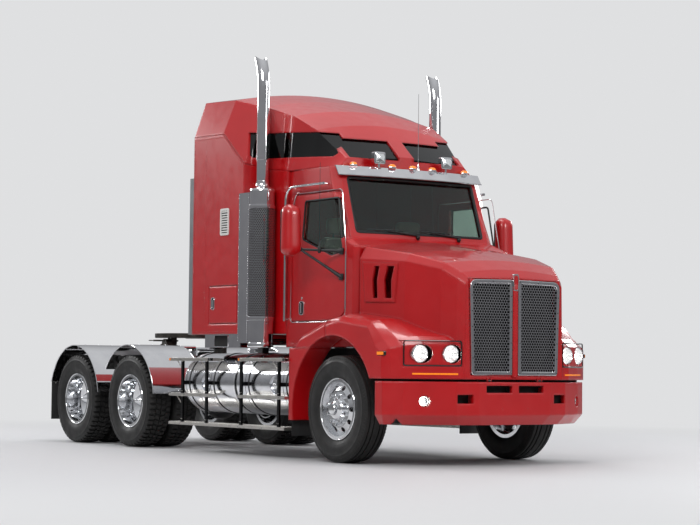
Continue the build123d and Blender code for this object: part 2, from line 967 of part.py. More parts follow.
def roof_face(row, inset):
    x, base_half, base_z, shoulder_half, shoulder_z, crown_z = row
    base = base_z - (50 if inset else 0)
    start = (x, shoulder_half - inset, shoulder_z - inset)
    end = (x, -(shoulder_half - inset), shoulder_z - inset)
    crown = (x, 0, crown_z - inset)
    sides = Polyline(end, (x, -(base_half - inset), base), (x, base_half - inset, base), start)
    return make_face([sides, ThreePointArc(start, crown, end)])


def roof_volume(inset):
    rows = list(roof_sections)
    if inset:
        first = rows[0]
        last = rows[-1]
        rows[0] = (first[0] + inset,) + first[1:]
        rows[-1] = (last[0] - inset * 2,) + last[1:]
    faces = [roof_face(row, inset) for row in rows]
    shape = None
    for rear, front in zip(faces, faces[1:]):
        piece = loft([rear, front], ruled=True)
        shape = piece if shape is None else shape + piece
    return shape


def roof_window_prisms():
    side = prism_xz(roof_window, -1300, -600)
    y_low, y_high = roof_front_window_y
    z_low, z_high = roof_front_window_z
    front = block(1350, 2100, -y_high, -y_low, z_low, z_high)
    return side, front


def build_roof(screen):
    outer = roof_volume(0)
    shell = outer - roof_volume(roof_wall)
    side, front = roof_window_prisms()
    glass_shell = roof_volume(12) - roof_volume(12 + glass_thickness)
    panes = []
    for prism in (side, left(side), front, left(front)):
        shell -= prism
        panes.append(glass_shell & prism)
    save("sleeper_roof", shell)
    save("fixed_glass", screen, *panes)


def visor_top_x(y):
    return visor_end_x + visor_bow * (1 - (y / visor_half_width) ** 2)


def visor_face(y):
    """Section of the visor: a sloping blade with a flange lying on the cab's roof."""
    top_x = visor_top_x(y)
    low_x = top_x + visor_reach
    foot = cab_roof_z + seat
    points = [
        (low_x, visor_low_z),
        (top_x, foot + 6),
        (top_x - visor_flange, foot + 6),
        (top_x - visor_flange, foot),
        (top_x - 5, foot),
        (low_x - 10, visor_low_z - 4),
    ]
    return make_face(Polyline(*[(x, y, z) for x, z in points], close=True))


def build_visor():
    half = visor_half_width
    stations = (-half, -half / 2, 0, half / 2, half)
    faces = [visor_face(y) for y in stations]
    shape = None
    for near, far in zip(faces, faces[1:]):
        piece = loft([near, far], ruled=True)
        shape = piece if shape is None else shape + piece
    save("sun_visor", shape)
    base = cab_roof_z + 6 + 2 * seat
    lamps = []
    for y in marker_lamp_y:
        x = visor_top_x(y) - visor_flange
        lamps.append(block(x, x + 40, y - 45, y + 45, base, base + 42))
    for y in (-spot_lamp_y, spot_lamp_y):
        x = visor_top_x(y) - visor_flange
        spot = block(x - 10, x + 50, y - 70, y + 70, base + 34, base + 154)
        spot += block(x + 2, x + 30, y - 15, y + 15, base, base + 34)
        lamps.append(spot)
    save("roof_lamps", *lamps)


def nose_face(row, inset):
    x, base_half, base_z, low_half, low_z, high_half, high_z, crown_z = row
    base = base_z - (60 if inset else 0)
    start = (x, high_half - inset, high_z - inset)
    end = (x, -(high_half - inset), high_z - inset)
    crown = (x, 0, crown_z - inset)
    sides = Polyline(
        end,
        (x, -(low_half - inset), low_z - inset),
        (x, -(base_half - inset), base),
        (x, base_half - inset, base),
        (x, low_half - inset, low_z - inset),
        start,
    )
    return make_face([sides, ThreePointArc(start, crown, end)])


def nose_volume(inset):
    rows = list(nose_sections)
    if inset:
        first = rows[0]
        last = rows[-1]
        rows[0] = (first[0] - 5,) + first[1:]
        rows[-1] = (last[0] - inset,) + last[1:]
    faces = [nose_face(row, inset) for row in rows]
    shape = None
    for rear, front in zip(faces, faces[1:]):
        piece = loft([rear, front], ruled=True)
        shape = piece if shape is None else shape + piece
    return shape


def fender_face(row, inset, base_drop):
    half, front_x, drop = row
    side_y = -(half - inset) if half > 1000 else -half
    front = front_x - inset
    top = -drop - inset
    points = [
        (fender_rear_x + inset + drop, fender_rear_z - base_drop),
        (1800 + inset, 1257 + top),
        (2225, 1392 + top),
        (2465, 1432 + top),
        (2965, 1374 + top),
        (front - 110, 1205 + top),
        (front, 1130 + top),
        (front, bonnet_lip_z - base_drop),
        (2800, bonnet_lip_z - base_drop),
        (quarter_front_x + 10, fender_rear_z - base_drop),
    ]
    return make_face(Polyline(*[(x, side_y, z) for x, z in points], close=True))


def fender_volume(inset):
    rows = list(fender_sections)
    if inset:
        rows[0] = (rows[0][0] - 20,) + rows[0][1:]
    base_drop = 30 if inset else 0
    faces = [fender_face(row, inset, base_drop) for row in rows]
    shape = None
    for near, far in zip(faces, faces[1:]):
        piece = loft([near, far], ruled=True)
        shape = piece if shape is None else shape + piece
    return shape


def build_bonnet():
    nose = nose_volume(0)
    fender = fender_volume(0)
    arch = disc_y(front_axle_x, tyre_radius, -1400, -400, arch_radius)
    outer = nose + fender + left(fender)
    inner = nose_volume(bonnet_skin)
    cavity = fender_volume(bonnet_skin)
    bonnet = outer - inner - cavity - left(cavity)
    for shape in (arch, left(arch)):
        bonnet -= shape
    liner = disc_y(front_axle_x, tyre_radius, -1205, -liner_inner_y, arch_radius + liner_thickness)
    liner -= disc_y(front_axle_x, tyre_radius, -1300, -liner_inner_y + 100, arch_radius)
    liner &= fender
    bonnet += liner
    bonnet += left(liner)
    bonnet -= block(1500, nose_sections[0][0] - 7, -cab_side_clear, cab_side_clear, 0, 2500)
    tails = bonnet & block(1500, fender_split_x, -1300, 1300, 0, 2500)
    bonnet -= block(1500, fender_split_x + fender_split_gap, -1300, 1300, 0, 2500)
    scoop_zone = prism_xz(scoop_outline, -1100, -700)
    scoop = (nose_volume(-scoop_lift) - nose_volume(bonnet_skin)) & scoop_zone
    for slot in scoop_slots:
        slot_zone = prism_xz(slot, -1100, -700)
        scoop -= slot_zone
        bonnet -= slot_zone
        bonnet -= left(slot_zone)
    bonnet += scoop
    bonnet += left(scoop)
    (y_low, y_high), (z_low, z_high) = lamp_bezel_y, lamp_bezel_z
    width = lamp_bezel_width
    ring = block(3250, 3700, -y_high, -y_low, z_low, z_high)
    ring -= block(3200, 3750, -y_high + width, -y_low - width, z_low + width, z_high - width)
    ring &= fender - fender_volume(lamp_bezel_depth)
    bonnet -= ring
    bonnet -= left(ring)
    grille_opening = prism_yz(
        [
            (-grille_half_low, grille_low_z),
            (grille_half_low, grille_low_z),
            (grille_half_top, grille_high_z),
            (-grille_half_top, grille_high_z),
        ],
        3500,
        3700,
    )
    bonnet -= grille_opening
    for x, y in head_lamp_table:
        recess = rod((x - 90, -y, lamp_z), (x + 120, -y, lamp_z), lamp_radius + seat)
        bonnet -= recess
        bonnet -= left(recess)
    ear_offset = hinge_strap_width / 2 + 1 + hinge_ear_width / 2
    for side in (-1, 1):
        for offset in (-ear_offset, ear_offset):
            y = side * hinge_y + offset
            ear = disc_y(
                bonnet_pivot_x, bonnet_pivot_z, y - hinge_ear_width / 2, y + hinge_ear_width / 2, hinge_eye_radius
            )
            ear += block(
                bonnet_pivot_x - hinge_eye_radius,
                bonnet_pivot_x + hinge_eye_radius,
                y - hinge_ear_width / 2,
                y + hinge_ear_width / 2,
                bonnet_pivot_z,
                bonnet_lip_z + 20,
            )
            ear -= disc_y(bonnet_pivot_x, bonnet_pivot_z, y - 20, y + 20, hinge_pin_radius + 0.3)
            bonnet += ear
    save("bonnet", bonnet)
    return tails


def grille_holes(x, half_low):
    """Six-sided holes in staggered rows over both windows of the grille, as wires at x."""
    holes = []
    radius = grille_hole_width / 2
    row_step = grille_hole_pitch * math.sin(math.pi / 3)
    margin = grille_frame + radius + 4
    rows = int((grille_high_z - grille_low_z - 2 * margin) / row_step) + 1
    columns = int((half_low - grille_frame - margin) / grille_hole_pitch)
    for side in (-1, 1):
        for row in range(rows):
            z = grille_low_z + margin + row * row_step
            for column in range(columns):
                y = side * (margin + (column + 0.5 * (row % 2)) * grille_hole_pitch)
                ring = []
                for corner in range(6):
                    angle = math.radians(60 * corner + 30)
                    ring.append(Vector(x, y + radius * math.cos(angle), z + radius * math.sin(angle)))
                holes.append(Wire.make_polygon(ring, close=True))
    return holes


def build_grille():
    half_low = grille_half_low - 0.3
    half_top = grille_half_top - 0.3
    frame = prism_yz(
        [
            (-half_low, grille_low_z + 0.3),
            (half_low, grille_low_z + 0.3),
            (half_top, grille_high_z - 0.3),
            (-half_top, grille_high_z - 0.3),
        ],
        grille_front_x - grille_depth,
        grille_front_x,
    )
    for side in (-1, 1):
        window = prism_yz(
            [
                (side * (half_low - grille_frame), grille_low_z + grille_frame),
                (side * (half_top - grille_frame), grille_high_z - grille_frame),
                (side * grille_frame, grille_high_z - grille_frame),
                (side * grille_frame, grille_low_z + grille_frame),
            ],
            grille_front_x - grille_depth - 5,
            grille_front_x + 5,
        )
        frame -= window
    mesh_x = grille_front_x - grille_depth
    corners = (
        (mesh_x, -half_low, grille_low_z + 0.3),
        (mesh_x, half_low, grille_low_z + 0.3),
        (mesh_x, half_top, grille_high_z - 0.3),
        (mesh_x, -half_top, grille_high_z - 0.3),
    )
    outline = Wire.make_polygon([Vector(*corner) for corner in corners], close=True)
    sheet = Face(outline, grille_holes(mesh_x, half_low))
    mesh = extrude(sheet, amount=grille_mesh_thickness, dir=(1, 0, 0))
    save("grille", frame + mesh)


def build_head_lamps():
    lamps = []
    for x, y in head_lamp_table:
        lamp = rod((x - lamp_depth, -y, lamp_z), (x, -y, lamp_z), lamp_radius)
        lamps.extend(both(lamp))
    save("head_lamps", *lamps)


def bumper_outline(inset):
    right_side = [(x - inset, -max(y - inset, 0)) for x, y in bumper_plan]
    left_side = [(x, -y) for x, y in reversed(right_side[1:])]
    tail = [(bumper_back_x, right_side[-1][1]), (bumper_back_x, -right_side[-1][1])]
    return right_side[::-1] + left_side[::-1] + [tail[1], tail[0]]


def bumper_face(inset, z):
    return make_face(Polyline(*[(x, y, z) for x, y in bumper_outline(inset)], close=True))


def build_bumper():
    lower = loft([bumper_face(bumper_tuck, bumper_low), bumper_face(0, bumper_low + 90)], ruled=True)
    upper = prism_xy(bumper_outline(0), bumper_low + 90, bumper_high)
    inner = prism_xy(bumper_outline(bumper_wall), bumper_low + 90, bumper_high + 10)
    inner_low = loft(
        [bumper_face(bumper_tuck + bumper_wall, bumper_low - 1), bumper_face(bumper_wall, bumper_low + 90)],
        ruled=True,
    )
    bumper = lower + upper - inner - inner_low
    bumper -= block(bumper_back_x - 10, 3280, -1100, 1100, 300, 900)
    for side in (-1, 1):
        y_low, y_high = sorted((side * 40, side * 340))
        bumper -= block(3500, 3700, y_low, y_high, 690, 755)
        y_low, y_high = sorted((side * 480, side * 640))
        bumper -= block(3450, 3700, y_low, y_high, 590, 670)
    for y in (-plate_hole_spacing / 2, plate_hole_spacing / 2):
        bumper -= rod((3500, y, plate_z), (3700, y, plate_z), plate_hole_radius)
    for side in (-1, 1):
        bumper -= rod((3330, side * 858, fog_lamp_z), (3530, side * 938, fog_lamp_z), fog_lamp_radius + seat)
    bracket = block(rail_front_x - 60, 3612, 360, 420, 600, rail_top - rail_height)
    bracket += block(rail_front_x - 60, 3612, 360, 420, 540, 610)
    bumper += bracket
    bumper += left(bracket)
    save("bumper", bumper)
    fog = rod((3380, -878, fog_lamp_z), (3430, -898, fog_lamp_z), fog_lamp_radius)
    fog += rod((3340, -862, fog_lamp_z), (3380, -878, fog_lamp_z), 20)
    tail_x = cross_member_x[-1] - cross_member_length / 2 - seat
    tail = block(tail_x - 45, tail_x, 200, 420, 885, 985)
    save("chassis_lamps", *both(fog), *both(tail))


def build_exhaust():
    """Muffler, stack with its swept-back tip, and the plain panel behind the muffler."""
    x = exhaust_x
    y = -exhaust_y
    muffler = rod((x, y, muffler_low), (x, y, muffler_high), muffler_radius)
    straight = Line((x, y, muffler_high), (x, y, stack_bend_z))
    angle = math.radians(stack_bend_angle)
    end_x = x - stack_bend_radius * (1 - math.cos(angle))
    end_z = stack_bend_z + stack_bend_radius * math.sin(angle)
    mid_x = x - stack_bend_radius * (1 - math.cos(angle / 2))
    mid_z = stack_bend_z + stack_bend_radius * math.sin(angle / 2)
    arc = ThreePointArc((x, y, stack_bend_z), (mid_x, y, mid_z), (end_x, y, end_z))
    path = Wire([straight, arc])
    start_plane = Plane(origin=(x, y, muffler_high), z_dir=(0, 0, 1))
    ring = start_plane * Circle(stack_radius)
    ring -= start_plane * Circle(stack_radius - stack_wall)
    stack = sweep(ring, path=path)
    cut_low = stack_bend_z + stack_cut_low
    cut_high = stack_bend_z + stack_cut_high
    cut_rear_x = x - stack_cut_reach
    cut = prism_xz(
        [(x + 300, cut_low), (cut_rear_x, cut_high), (cut_rear_x - 300, cut_high),
         (cut_rear_x - 300, cut_high + 300), (x + 300, cut_high + 300)],
        y - 200,
        y + 200,
    )
    stack -= cut
    pipe = rod((x, y + 60, muffler_low + 75), (x, -300, muffler_low + 75), 55)
    system = muffler + stack + pipe
    for z in muffler_band_z:
        band_low = (x, y, z - muffler_band_height / 2)
        band_high = (x, y, z + muffler_band_height / 2)
        system += rod(band_low, band_high, muffler_radius + muffler_band)
    panel = block(exhaust_panel_x[0], exhaust_panel_x[1], -1206, -1200.3, exhaust_panel_low, exhaust_panel_high)
    save("exhausts", *both(system), *both(panel))


def build_tanks():
    pieces = []
    for (x_low, x_high), straps, filler in zip(tank_spans, tank_strap_x, filler_x):
        tank = rod((x_low, -tank_y, tank_z), (x_high, -tank_y, tank_z), tank_radius)
        recess_y = -(tank_y + tank_radius - filler_recess_depth)
        tank -= disc_y(filler, tank_z, -(tank_y + tank_radius + 10), recess_y, filler_recess_radius)
        tank += disc_y(filler, tank_z, recess_y - filler_cap_height, recess_y + 5, filler_cap_radius)
        for strap_x in straps:
            band = rod(
                (strap_x - tank_strap_width / 2, -tank_y, tank_z),
                (strap_x + tank_strap_width / 2, -tank_y, tank_z),
                tank_radius + tank_strap_thickness,
            )
            tank += band
            tank += block(
                strap_x - tank_strap_width / 2,
                strap_x + tank_strap_width / 2,
                -tank_y + 100,
                -rail_outer_y,
                tank_z - 60,
                rail_top - 20,
            )
        pieces.extend(both(tank))
    save("fuel_tanks", *pieces)


def tank_edge_y(z):
    """Outer half width of a tank and its straps at a height."""
    reach = tank_radius + tank_strap_thickness
    return tank_y + math.sqrt(reach ** 2 - (z - tank_z) ** 2)


def build_steps():
    """Perforated treads on hangers, which stand on the tanks' straps, and the long lower tread."""
    steps = block(
        lower_step_x[0], lower_step_x[1], -step_outer_y, -lower_step_inner_y, lower_step_z - step_thickness,
        lower_step_z
    )
    for (x_low, x_high), straps in zip(step_sets, tank_strap_x):
        for top in step_heights:
            deepest = top - step_thickness if top > tank_z else top
            inner_y = tank_edge_y(deepest) + 4
            steps += block(x_low, x_high, -step_outer_y, -inner_y, top - step_thickness, top)
        for x in straps:
            post_y = -step_outer_y + 20
            steps += block(x - 20, x + 20, -step_outer_y, post_y, lower_step_z, step_heights[0])
            foot_y = -(tank_y + tank_radius + tank_strap_thickness + seat)
            steps += block(x - 20, x + 20, post_y, foot_y, tank_z - 20, tank_z + 20)
    save("side_steps", *both(steps))


def build_rear_quarters(tails):
    """Fixed rear part of each front fender, behind the wheel, from the step up to the fender's top."""
    y_low = -1205
    y_high = -(cab_sections[0][1] + seat)
    top = fender_rear_z
    panel = block(quarter_rear_x, quarter_front_x, y_low, y_high, quarter_low, top)
    hollow = block(
        quarter_rear_x + bonnet_skin, quarter_front_x, y_low + bonnet_skin, y_high + 1, quarter_low + bonnet_skin,
        top - bonnet_skin
    )
    hollow -= disc_y(front_axle_x, tyre_radius, y_low - 10, y_high + 10, arch_radius + bonnet_skin)
    panel -= hollow
    panel -= disc_y(front_axle_x, tyre_radius, y_low - 10, y_high + 10, arch_radius)
    panel += block(quarter_rear_x, quarter_rear_x + 28, y_high - 12, y_high, top - bonnet_skin, top + 90)
    save("rear_quarters", panel + left(panel) + tails)


def guard_arc(axle_x, end_angle):
    outer = disc_y(axle_x, tyre_radius, -guard_outer_y, -guard_inner_y, guard_radius)
    outer -= disc_y(axle_x, tyre_radius, -guard_outer_y - 5, -guard_inner_y + 5, guard_radius - guard_thickness)
    reach = 1200
    start = math.radians(guard_front_angle)
    finish = math.radians(end_angle)
    wedge = [(axle_x, tyre_radius)]
    steps = 4
    for index in range(steps + 1):
        angle = start + (finish - start) * index / steps
        wedge.append((axle_x + reach * math.cos(angle), tyre_radius + reach * math.sin(angle)))
    return outer & prism_xz(wedge, -guard_outer_y - 10, -guard_inner_y + 10)


def build_guards():
    guards = []
    for axle_x, end_angle in guard_table:
        guard = guard_arc(axle_x, end_angle)
        tube_z = tyre_radius + guard_radius - guard_thickness - 20
        guard += rod((axle_x, -guard_outer_y + 60, tube_z), (axle_x, -rail_outer_y + 70, tube_z), 22)
        guard += block(axle_x - 22, axle_x + 22, -rail_outer_y + 10, -rail_outer_y + 70, rail_top + seat, tube_z)
        guards.extend(both(guard))
    save("rear_guards", *guards)
    flap_x = overall_rear_x
    inner_radius = guard_radius - guard_thickness
    end_z = tyre_radius + inner_radius * math.sin(math.radians(guard_table[1][1])) - seat
    flap = block(flap_x, flap_x + flap_thickness, -guard_outer_y + 10, -guard_inner_y - 10, flap_low, end_z)
    save("mud_flaps", *both(flap))


def build_deck():
    deck = block(-1240, -420, -rail_outer_y, rail_outer_y, rail_top, rail_top + 8)
    save("deck_plate", deck)


def build_fifth_wheel():
    x = fifth_wheel_x
    base = block(x - 330, x + 330, -rail_outer_y, rail_outer_y, rail_top, rail_top + 25)
    for side in (-1, 1):
        y_low, y_high = sorted((side * 330, side * 400))
        ear = block(x - 90, x + 90, y_low, y_high, rail_top + 25, fifth_wheel_pivot_z)
        ear += disc_y(x, fifth_wheel_pivot_z, y_low, y_high, 60)
        base += ear
    base += disc_y(x, fifth_wheel_pivot_z, -398, -250, 25)
    base += disc_y(x, fifth_wheel_pivot_z, 250, 398, 25)
    save("fifth_wheel_base", base)
    low = fifth_wheel_top - fifth_wheel_thickness
    plate = rod((x, 0, low), (x, 0, fifth_wheel_top), fifth_wheel_radius)
    plate += prism_xy([(x, -440), (x, 440), (x - 480, 250), (x - 480, -250)], low, fifth_wheel_top)
    throat = prism_xy([(x - 60, -45), (x - 60, 45), (x - 600, 190), (x - 600, -190)], low - 5, fifth_wheel_top + 5)
    plate -= throat
    plate += rod((x, 0, low), (x, 0, fifth_wheel_top), 75)
    plate -= rod((x, 0, low - 5), (x, 0, fifth_wheel_top + 5), kingpin_bore)
    for side in (-1, 1):
        y_low, y_high = sorted((side * 260, side * 322))
        lug = block(x - 55, x + 55, y_low, y_high, fifth_wheel_pivot_z, low)
        lug += disc_y(x, fifth_wheel_pivot_z, y_low, y_high, 50)
        lug -= disc_y(x, fifth_wheel_pivot_z, y_low - 5, y_high + 5, 25.3)
        plate += lug
    save("fifth_wheel_plate", plate)


def cab_side_y(z):
    """Half width of the cab's flat side at a height."""
    for lower, upper in zip(cab_sections, cab_sections[1:]):
        if z <= upper[0]:
            share = (z - lower[0]) / (upper[0] - lower[0])
            return lower[1] + (upper[1] - lower[1]) * max(share, 0)
    return cab_sections[-1][1]


def build_grab_rails():
    """Bent rail up beside each door and forward over it, standing on feet."""
    z_low, z_high = rail_z
    path = FilletPolyline(
        (rail_x, -rail_y, z_low), (rail_x, -rail_y, z_high), (rail_front_end_x, -rail_y, z_high), radius=rail_bend
    )
    start = Plane(origin=(rail_x, -rail_y, z_low), z_dir=(0, 0, 1))
    rail = sweep(start * Circle(rail_radius), path=path)
    for x, z in rail_feet:
        rail += rod((x, -rail_y, z), (x, -cab_side_y(z - rail_foot_radius) - seat, z), rail_foot_radius)
    save("grab_rails", *both(rail))


build_wheels()
build_frame()
build_front_axle()
build_knuckles()
build_suspension()
build_drive_axles()
build_engine()
windscreen = build_cab()
build_cab_interior()
build_sleeper()
build_roof(windscreen)
build_visor()
fender_tails = build_bonnet()
build_grille()
build_head_lamps()
build_bumper()
build_exhaust()
build_tanks()
build_steps()
build_rear_quarters(fender_tails)
build_guards()
build_deck()
build_fifth_wheel()
build_grab_rails()
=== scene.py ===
# Looks of a bonneted 6x4 prime mover with a high-roof sleeper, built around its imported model.
# Metres, +X forwards, +Y to the left, +Z up, origin on the ground in the middle of the overall box.
import math

import bmesh
import bpy
from mathutils import Matrix, Vector


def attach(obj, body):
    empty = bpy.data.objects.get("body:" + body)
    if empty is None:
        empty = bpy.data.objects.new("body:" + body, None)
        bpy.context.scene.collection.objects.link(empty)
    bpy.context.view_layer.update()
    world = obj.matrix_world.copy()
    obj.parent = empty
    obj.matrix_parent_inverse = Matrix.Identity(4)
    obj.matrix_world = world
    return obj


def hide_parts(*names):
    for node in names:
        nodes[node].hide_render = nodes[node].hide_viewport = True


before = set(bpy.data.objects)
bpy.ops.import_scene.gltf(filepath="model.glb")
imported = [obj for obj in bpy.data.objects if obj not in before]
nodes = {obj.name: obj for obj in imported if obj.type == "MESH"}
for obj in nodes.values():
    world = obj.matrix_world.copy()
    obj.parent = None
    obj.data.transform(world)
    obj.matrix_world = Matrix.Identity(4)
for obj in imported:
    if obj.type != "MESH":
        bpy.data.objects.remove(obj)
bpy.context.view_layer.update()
sides = (("left", 1), ("right", -1))

# Camera, fitted to the photograph
camera_place = (18.241, -11.8, 0.91)
camera_azimuth = 55.794
camera_pitch = 3.011
camera_roll = 0.584
camera_lens = 102.79
sensor_width = 36.0
backdrop = (0.74, 0.745, 0.755)

# Main places, from the frame and the source's sizes
front_axle_x = 2.365
drive_axles = ((1, -1.729), (2, -3.054))
tyre_radius = 0.515
front_rim_y = 1.019
outer_rim_y = 1.075
inner_rim_y = 0.74
front_face_y = 1.123
rear_face_y = 0.9315
nut_circle = 0.1425
grille_front = 3.648
exhaust_x = 0.885
exhaust_y = 1.095
sleeper_y = 1.2
cab_y = 0.95
tank_y = 0.855
tank_z = 0.735
tank_radius = 0.315
rail_y = 0.432
kingpin_x = -2.391
strap_places = (-0.45, 0.06, 0.76, 1.48)


def angles(count):
    return [2 * math.pi * index / count for index in range(count)]


def circle(centre, side, up, radius, count):
    """Points around a centre in the plane of two directions."""
    return [centre + (side * math.cos(a) + up * math.sin(a)) * radius for a in angles(count)]


def raised(outline, axis, level):
    """An outline of pairs laid across an axis at a level."""
    ring = [list(pair) for pair in outline]
    for point in ring:
        point.insert(axis, level)
    return ring


def between(outer, inner, share):
    """An outline that lies at a share of the way from outer to inner."""
    return [(p + (r - p) * share, q + (s - q) * share) for (p, q), (r, s) in zip(outer, inner)]


class Pile:
    """The vertices and faces of one joined piece, with each face's material number."""

    def __init__(self):
        self.verts = []
        self.faces = []
        self.marks = []

    def add(self, verts, faces, mark=0):
        base = len(self.verts)
        self.verts.extend(tuple(v) for v in verts)
        self.faces.extend([base + index for index in face] for face in faces)
        self.marks.extend([mark] * len(faces))

    def strip(self, loops, mark=0, along_closed=False, caps=False):
        """Joins closed loops of equal length, one after the other, by quads."""
        count = len(loops[0])
        faces = []
        for i in range(len(loops) if along_closed else len(loops) - 1):
            low = i * count
            high = (i + 1) % len(loops) * count
            for j in range(count):
                k = (j + 1) % count
                faces.append((low + j, low + k, high + k, high + j))
        if caps:
            faces.append(tuple(range(count))[::-1])
            faces.append(tuple((len(loops) - 1) * count + j for j in range(count)))
        self.add([v for loop in loops for v in loop], faces, mark)

    def box(self, x0, x1, y0, y1, z0, z1, mark=0, soft=0.0):
        """A box between two places on each axis; soft cuts its long edges and its ends."""
        spans = [sorted(pair) for pair in ((x0, x1), (y0, y1), (z0, z1))]
        if soft <= 0:
            (x0, x1), (y0, y1), (z0, z1) = spans
            verts = [(x, y, z) for x in (x0, x1) for y in (y0, y1) for z in (z0, z1)]
            faces = [(0, 1, 3, 2), (4, 6, 7, 5), (0, 4, 5, 1), (2, 3, 7, 6), (0, 2, 6, 4), (1, 5, 7, 3)]
            self.add(verts, faces, mark)
            return
        lows, highs = (Vector(corner) for corner in zip(*spans))
        longest = max(range(3), key=lambda axis: highs[axis] - lows[axis])
        a, b = [axis for axis in range(3) if axis != longest]
        outline = rounded(lows[a], highs[a], lows[b], highs[b], soft, 2)
        inner = rounded(lows[a] + soft, highs[a] - soft, lows[b] + soft, highs[b] - soft, soft / 9, 2)
        stages = ((inner, lows[longest]), (outline, lows[longest] + soft),
                  (outline, highs[longest] - soft), (inner, highs[longest]))
        self.strip([raised(loop, longest, level) for loop, level in stages], mark, caps=True)

    def tube(self, points, radius, mark=0, around=10, closed=False):
        """A round bar along points; radius is one value or one for each point."""
        points = [Vector(p) for p in points]
        last = len(points) - 1
        radii = radius if isinstance(radius, (list, tuple)) else [radius] * len(points)
        loops = []
        side = None
        for index, point in enumerate(points):
            if closed:
                ahead = points[(index + 1) % len(points)] - points[index - 1]
            else:
                ahead = points[min(index + 1, last)] - points[max(index - 1, 0)]
            ahead.normalize()
            if side is None:
                side = ahead.orthogonal().normalized()
            side = (side - ahead * side.dot(ahead)).normalized()
            loops.append(circle(point, side, ahead.cross(side), radii[index], around))
        self.strip(loops, mark, along_closed=closed, caps=not closed)

    def turned(self, profile, centre, axis, around=40, mark=0, closed=False):
        """A profile of (radius, distance along axis) turned about the axis through centre."""
        ahead = Vector(axis).normalized()
        side = ahead.orthogonal().normalized()
        up = ahead.cross(side)
        centre = Vector(centre)
        loops = [circle(centre + ahead * along, side, up, radius, around) for radius, along in profile]
        self.strip(loops, mark, along_closed=closed, caps=not closed)

    def dome(self, place, axis, radius, height, mark=0, around=8):
        """A rivet or bolt head, or with 6 around a nut."""
        profile = [(radius, 0), (radius, height * 0.35), (radius * 0.72, height * 0.85), (radius * 0.3, height)]
        self.turned(profile, place, axis, around, mark)

    def nut(self, place, axis, radius, height, mark=0):
        """A wheel nut on its round flange."""
        flange = radius * 1.25
        profile = [(flange, 0), (flange, height * 0.12), (radius, height * 0.14), (radius, height * 0.9),
                   (radius * 0.8, height)]
        self.turned(profile, place, axis, 6, mark)

    def plate(self, outline, back, front, axis=0, mark=0):
        """An outline of pairs in the plane across an axis, given depth between two levels."""
        self.strip([raised(outline, axis, level) for level in sorted((back, front))], mark, caps=True)

    def ring_plate(self, outer, inner, back, front, axis=0, mark=0, lip=0.0):
        """A flat frame between two outlines with as many points each."""
        step = math.copysign(lip, front - back)
        stages = ((outer, back), (outer, front - step), (between(outer, inner, 0.12), front),
                  (between(outer, inner, 0.88), front), (inner, front - step), (inner, back))
        self.strip([raised(outline, axis, level) for outline, level in stages], mark, along_closed=True)

    def pierced(self, place, u_range, v_range, pitch, share, depth, mark=0):
        """A sheet of six-sided cells with a hole in each; place(u, v, depth) gives a point."""
        (u_low, u_high), (v_low, v_high) = u_range, v_range
        row_step = pitch * math.sin(math.pi / 3)
        rows = int((v_high - v_low) / row_step)
        columns = int((u_high - u_low) / pitch)
        outer_radius = pitch / math.sqrt(3)
        corners = [math.radians(60 * corner + 30) for corner in range(6)]
        stages = ((outer_radius, 0), (outer_radius * share, 0), (outer_radius * share, depth))
        for row in range(rows + 1):
            v = v_low + row * row_step
            for column in range(columns + 1 - row % 2):
                u = u_low + (column + 0.5 * (row % 2)) * pitch
                self.strip([[place(u + radius * math.cos(a), v + radius * math.sin(a), level) for a in corners]
                            for radius, level in stages], mark)


def rounded(a_low, a_high, b_low, b_high, radius, steps=5):
    """Outline of a rectangle with round corners."""
    points = []
    corners = (
        (a_high - radius, b_high - radius, 0), (a_low + radius, b_high - radius, 90),
        (a_low + radius, b_low + radius, 180), (a_high - radius, b_low + radius, 270),
    )
    for a, b, start in corners:
        for step in range(steps + 1):
            angle = math.radians(start + 90 * step / steps)
            points.append((a + radius * math.cos(angle), b + radius * math.sin(angle)))
    return points


def soft_path(corners, radius, steps=6, closed=True):
    """A path through corners with each one rounded by an arc of about that radius."""
    corners = [Vector(c) for c in corners]
    count = len(corners)
    path = []
    for index, corner in enumerate(corners):
        if not closed and index in (0, count - 1):
            path.append(corner)
            continue
        before = corners[index - 1] - corner
        after = corners[(index + 1) % count] - corner
        reach = min(radius, before.length * 0.45, after.length * 0.45)
        start = corner + before.normalized() * reach
        end = corner + after.normalized() * reach
        for step in range(steps + 1):
            t = step / steps
            path.append(start * (1 - t) ** 2 + corner * 2 * t * (1 - t) + end * t ** 2)
    return path


def line(start, end, count):
    """Points from start to end, ends included."""
    start, end = Vector(start), Vector(end)
    return [start.lerp(end, index / (count - 1)) for index in range(count)]


def make(pile, name, materials, body="chassis", crease=32.0, bevel=0.0, replaced=()):
    """Turns a pile into a piece that rides on a body."""
    mesh = bpy.data.meshes.new(name)
    mesh.from_pydata(pile.verts, [], pile.faces)
    for finish in materials:
        mesh.materials.append(finish)
    mesh.polygons.foreach_set("material_index", pile.marks)
    work = bmesh.new()
    work.from_mesh(mesh)
    bmesh.ops.recalc_face_normals(work, faces=work.faces)
    limit = math.radians(crease)
    for face in work.faces:
        face.smooth = True
    for edge in work.edges:
        if len(edge.link_faces) == 2 and edge.calc_face_angle() > limit:
            edge.smooth = False
    work.to_mesh(mesh)
    work.free()
    piece = bpy.data.objects.new(name, mesh)
    bpy.context.scene.collection.objects.link(piece)
    if bevel > 0:
        soften = piece.modifiers.new("soft_edges", "BEVEL")
        soften.width = bevel
        soften.segments = 2
        soften.limit_method = "ANGLE"
        soften.angle_limit = math.radians(40)
        soften.harden_normals = True
    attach(piece, body)
    if replaced:
        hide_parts(*replaced)
    return piece


# Materials

def plug(tree, socket, value):
    """Links a socket, or sets a constant on the input."""
    if isinstance(value, bpy.types.NodeSocket):
        tree.links.new(value, socket)
    else:
        socket.default_value = value


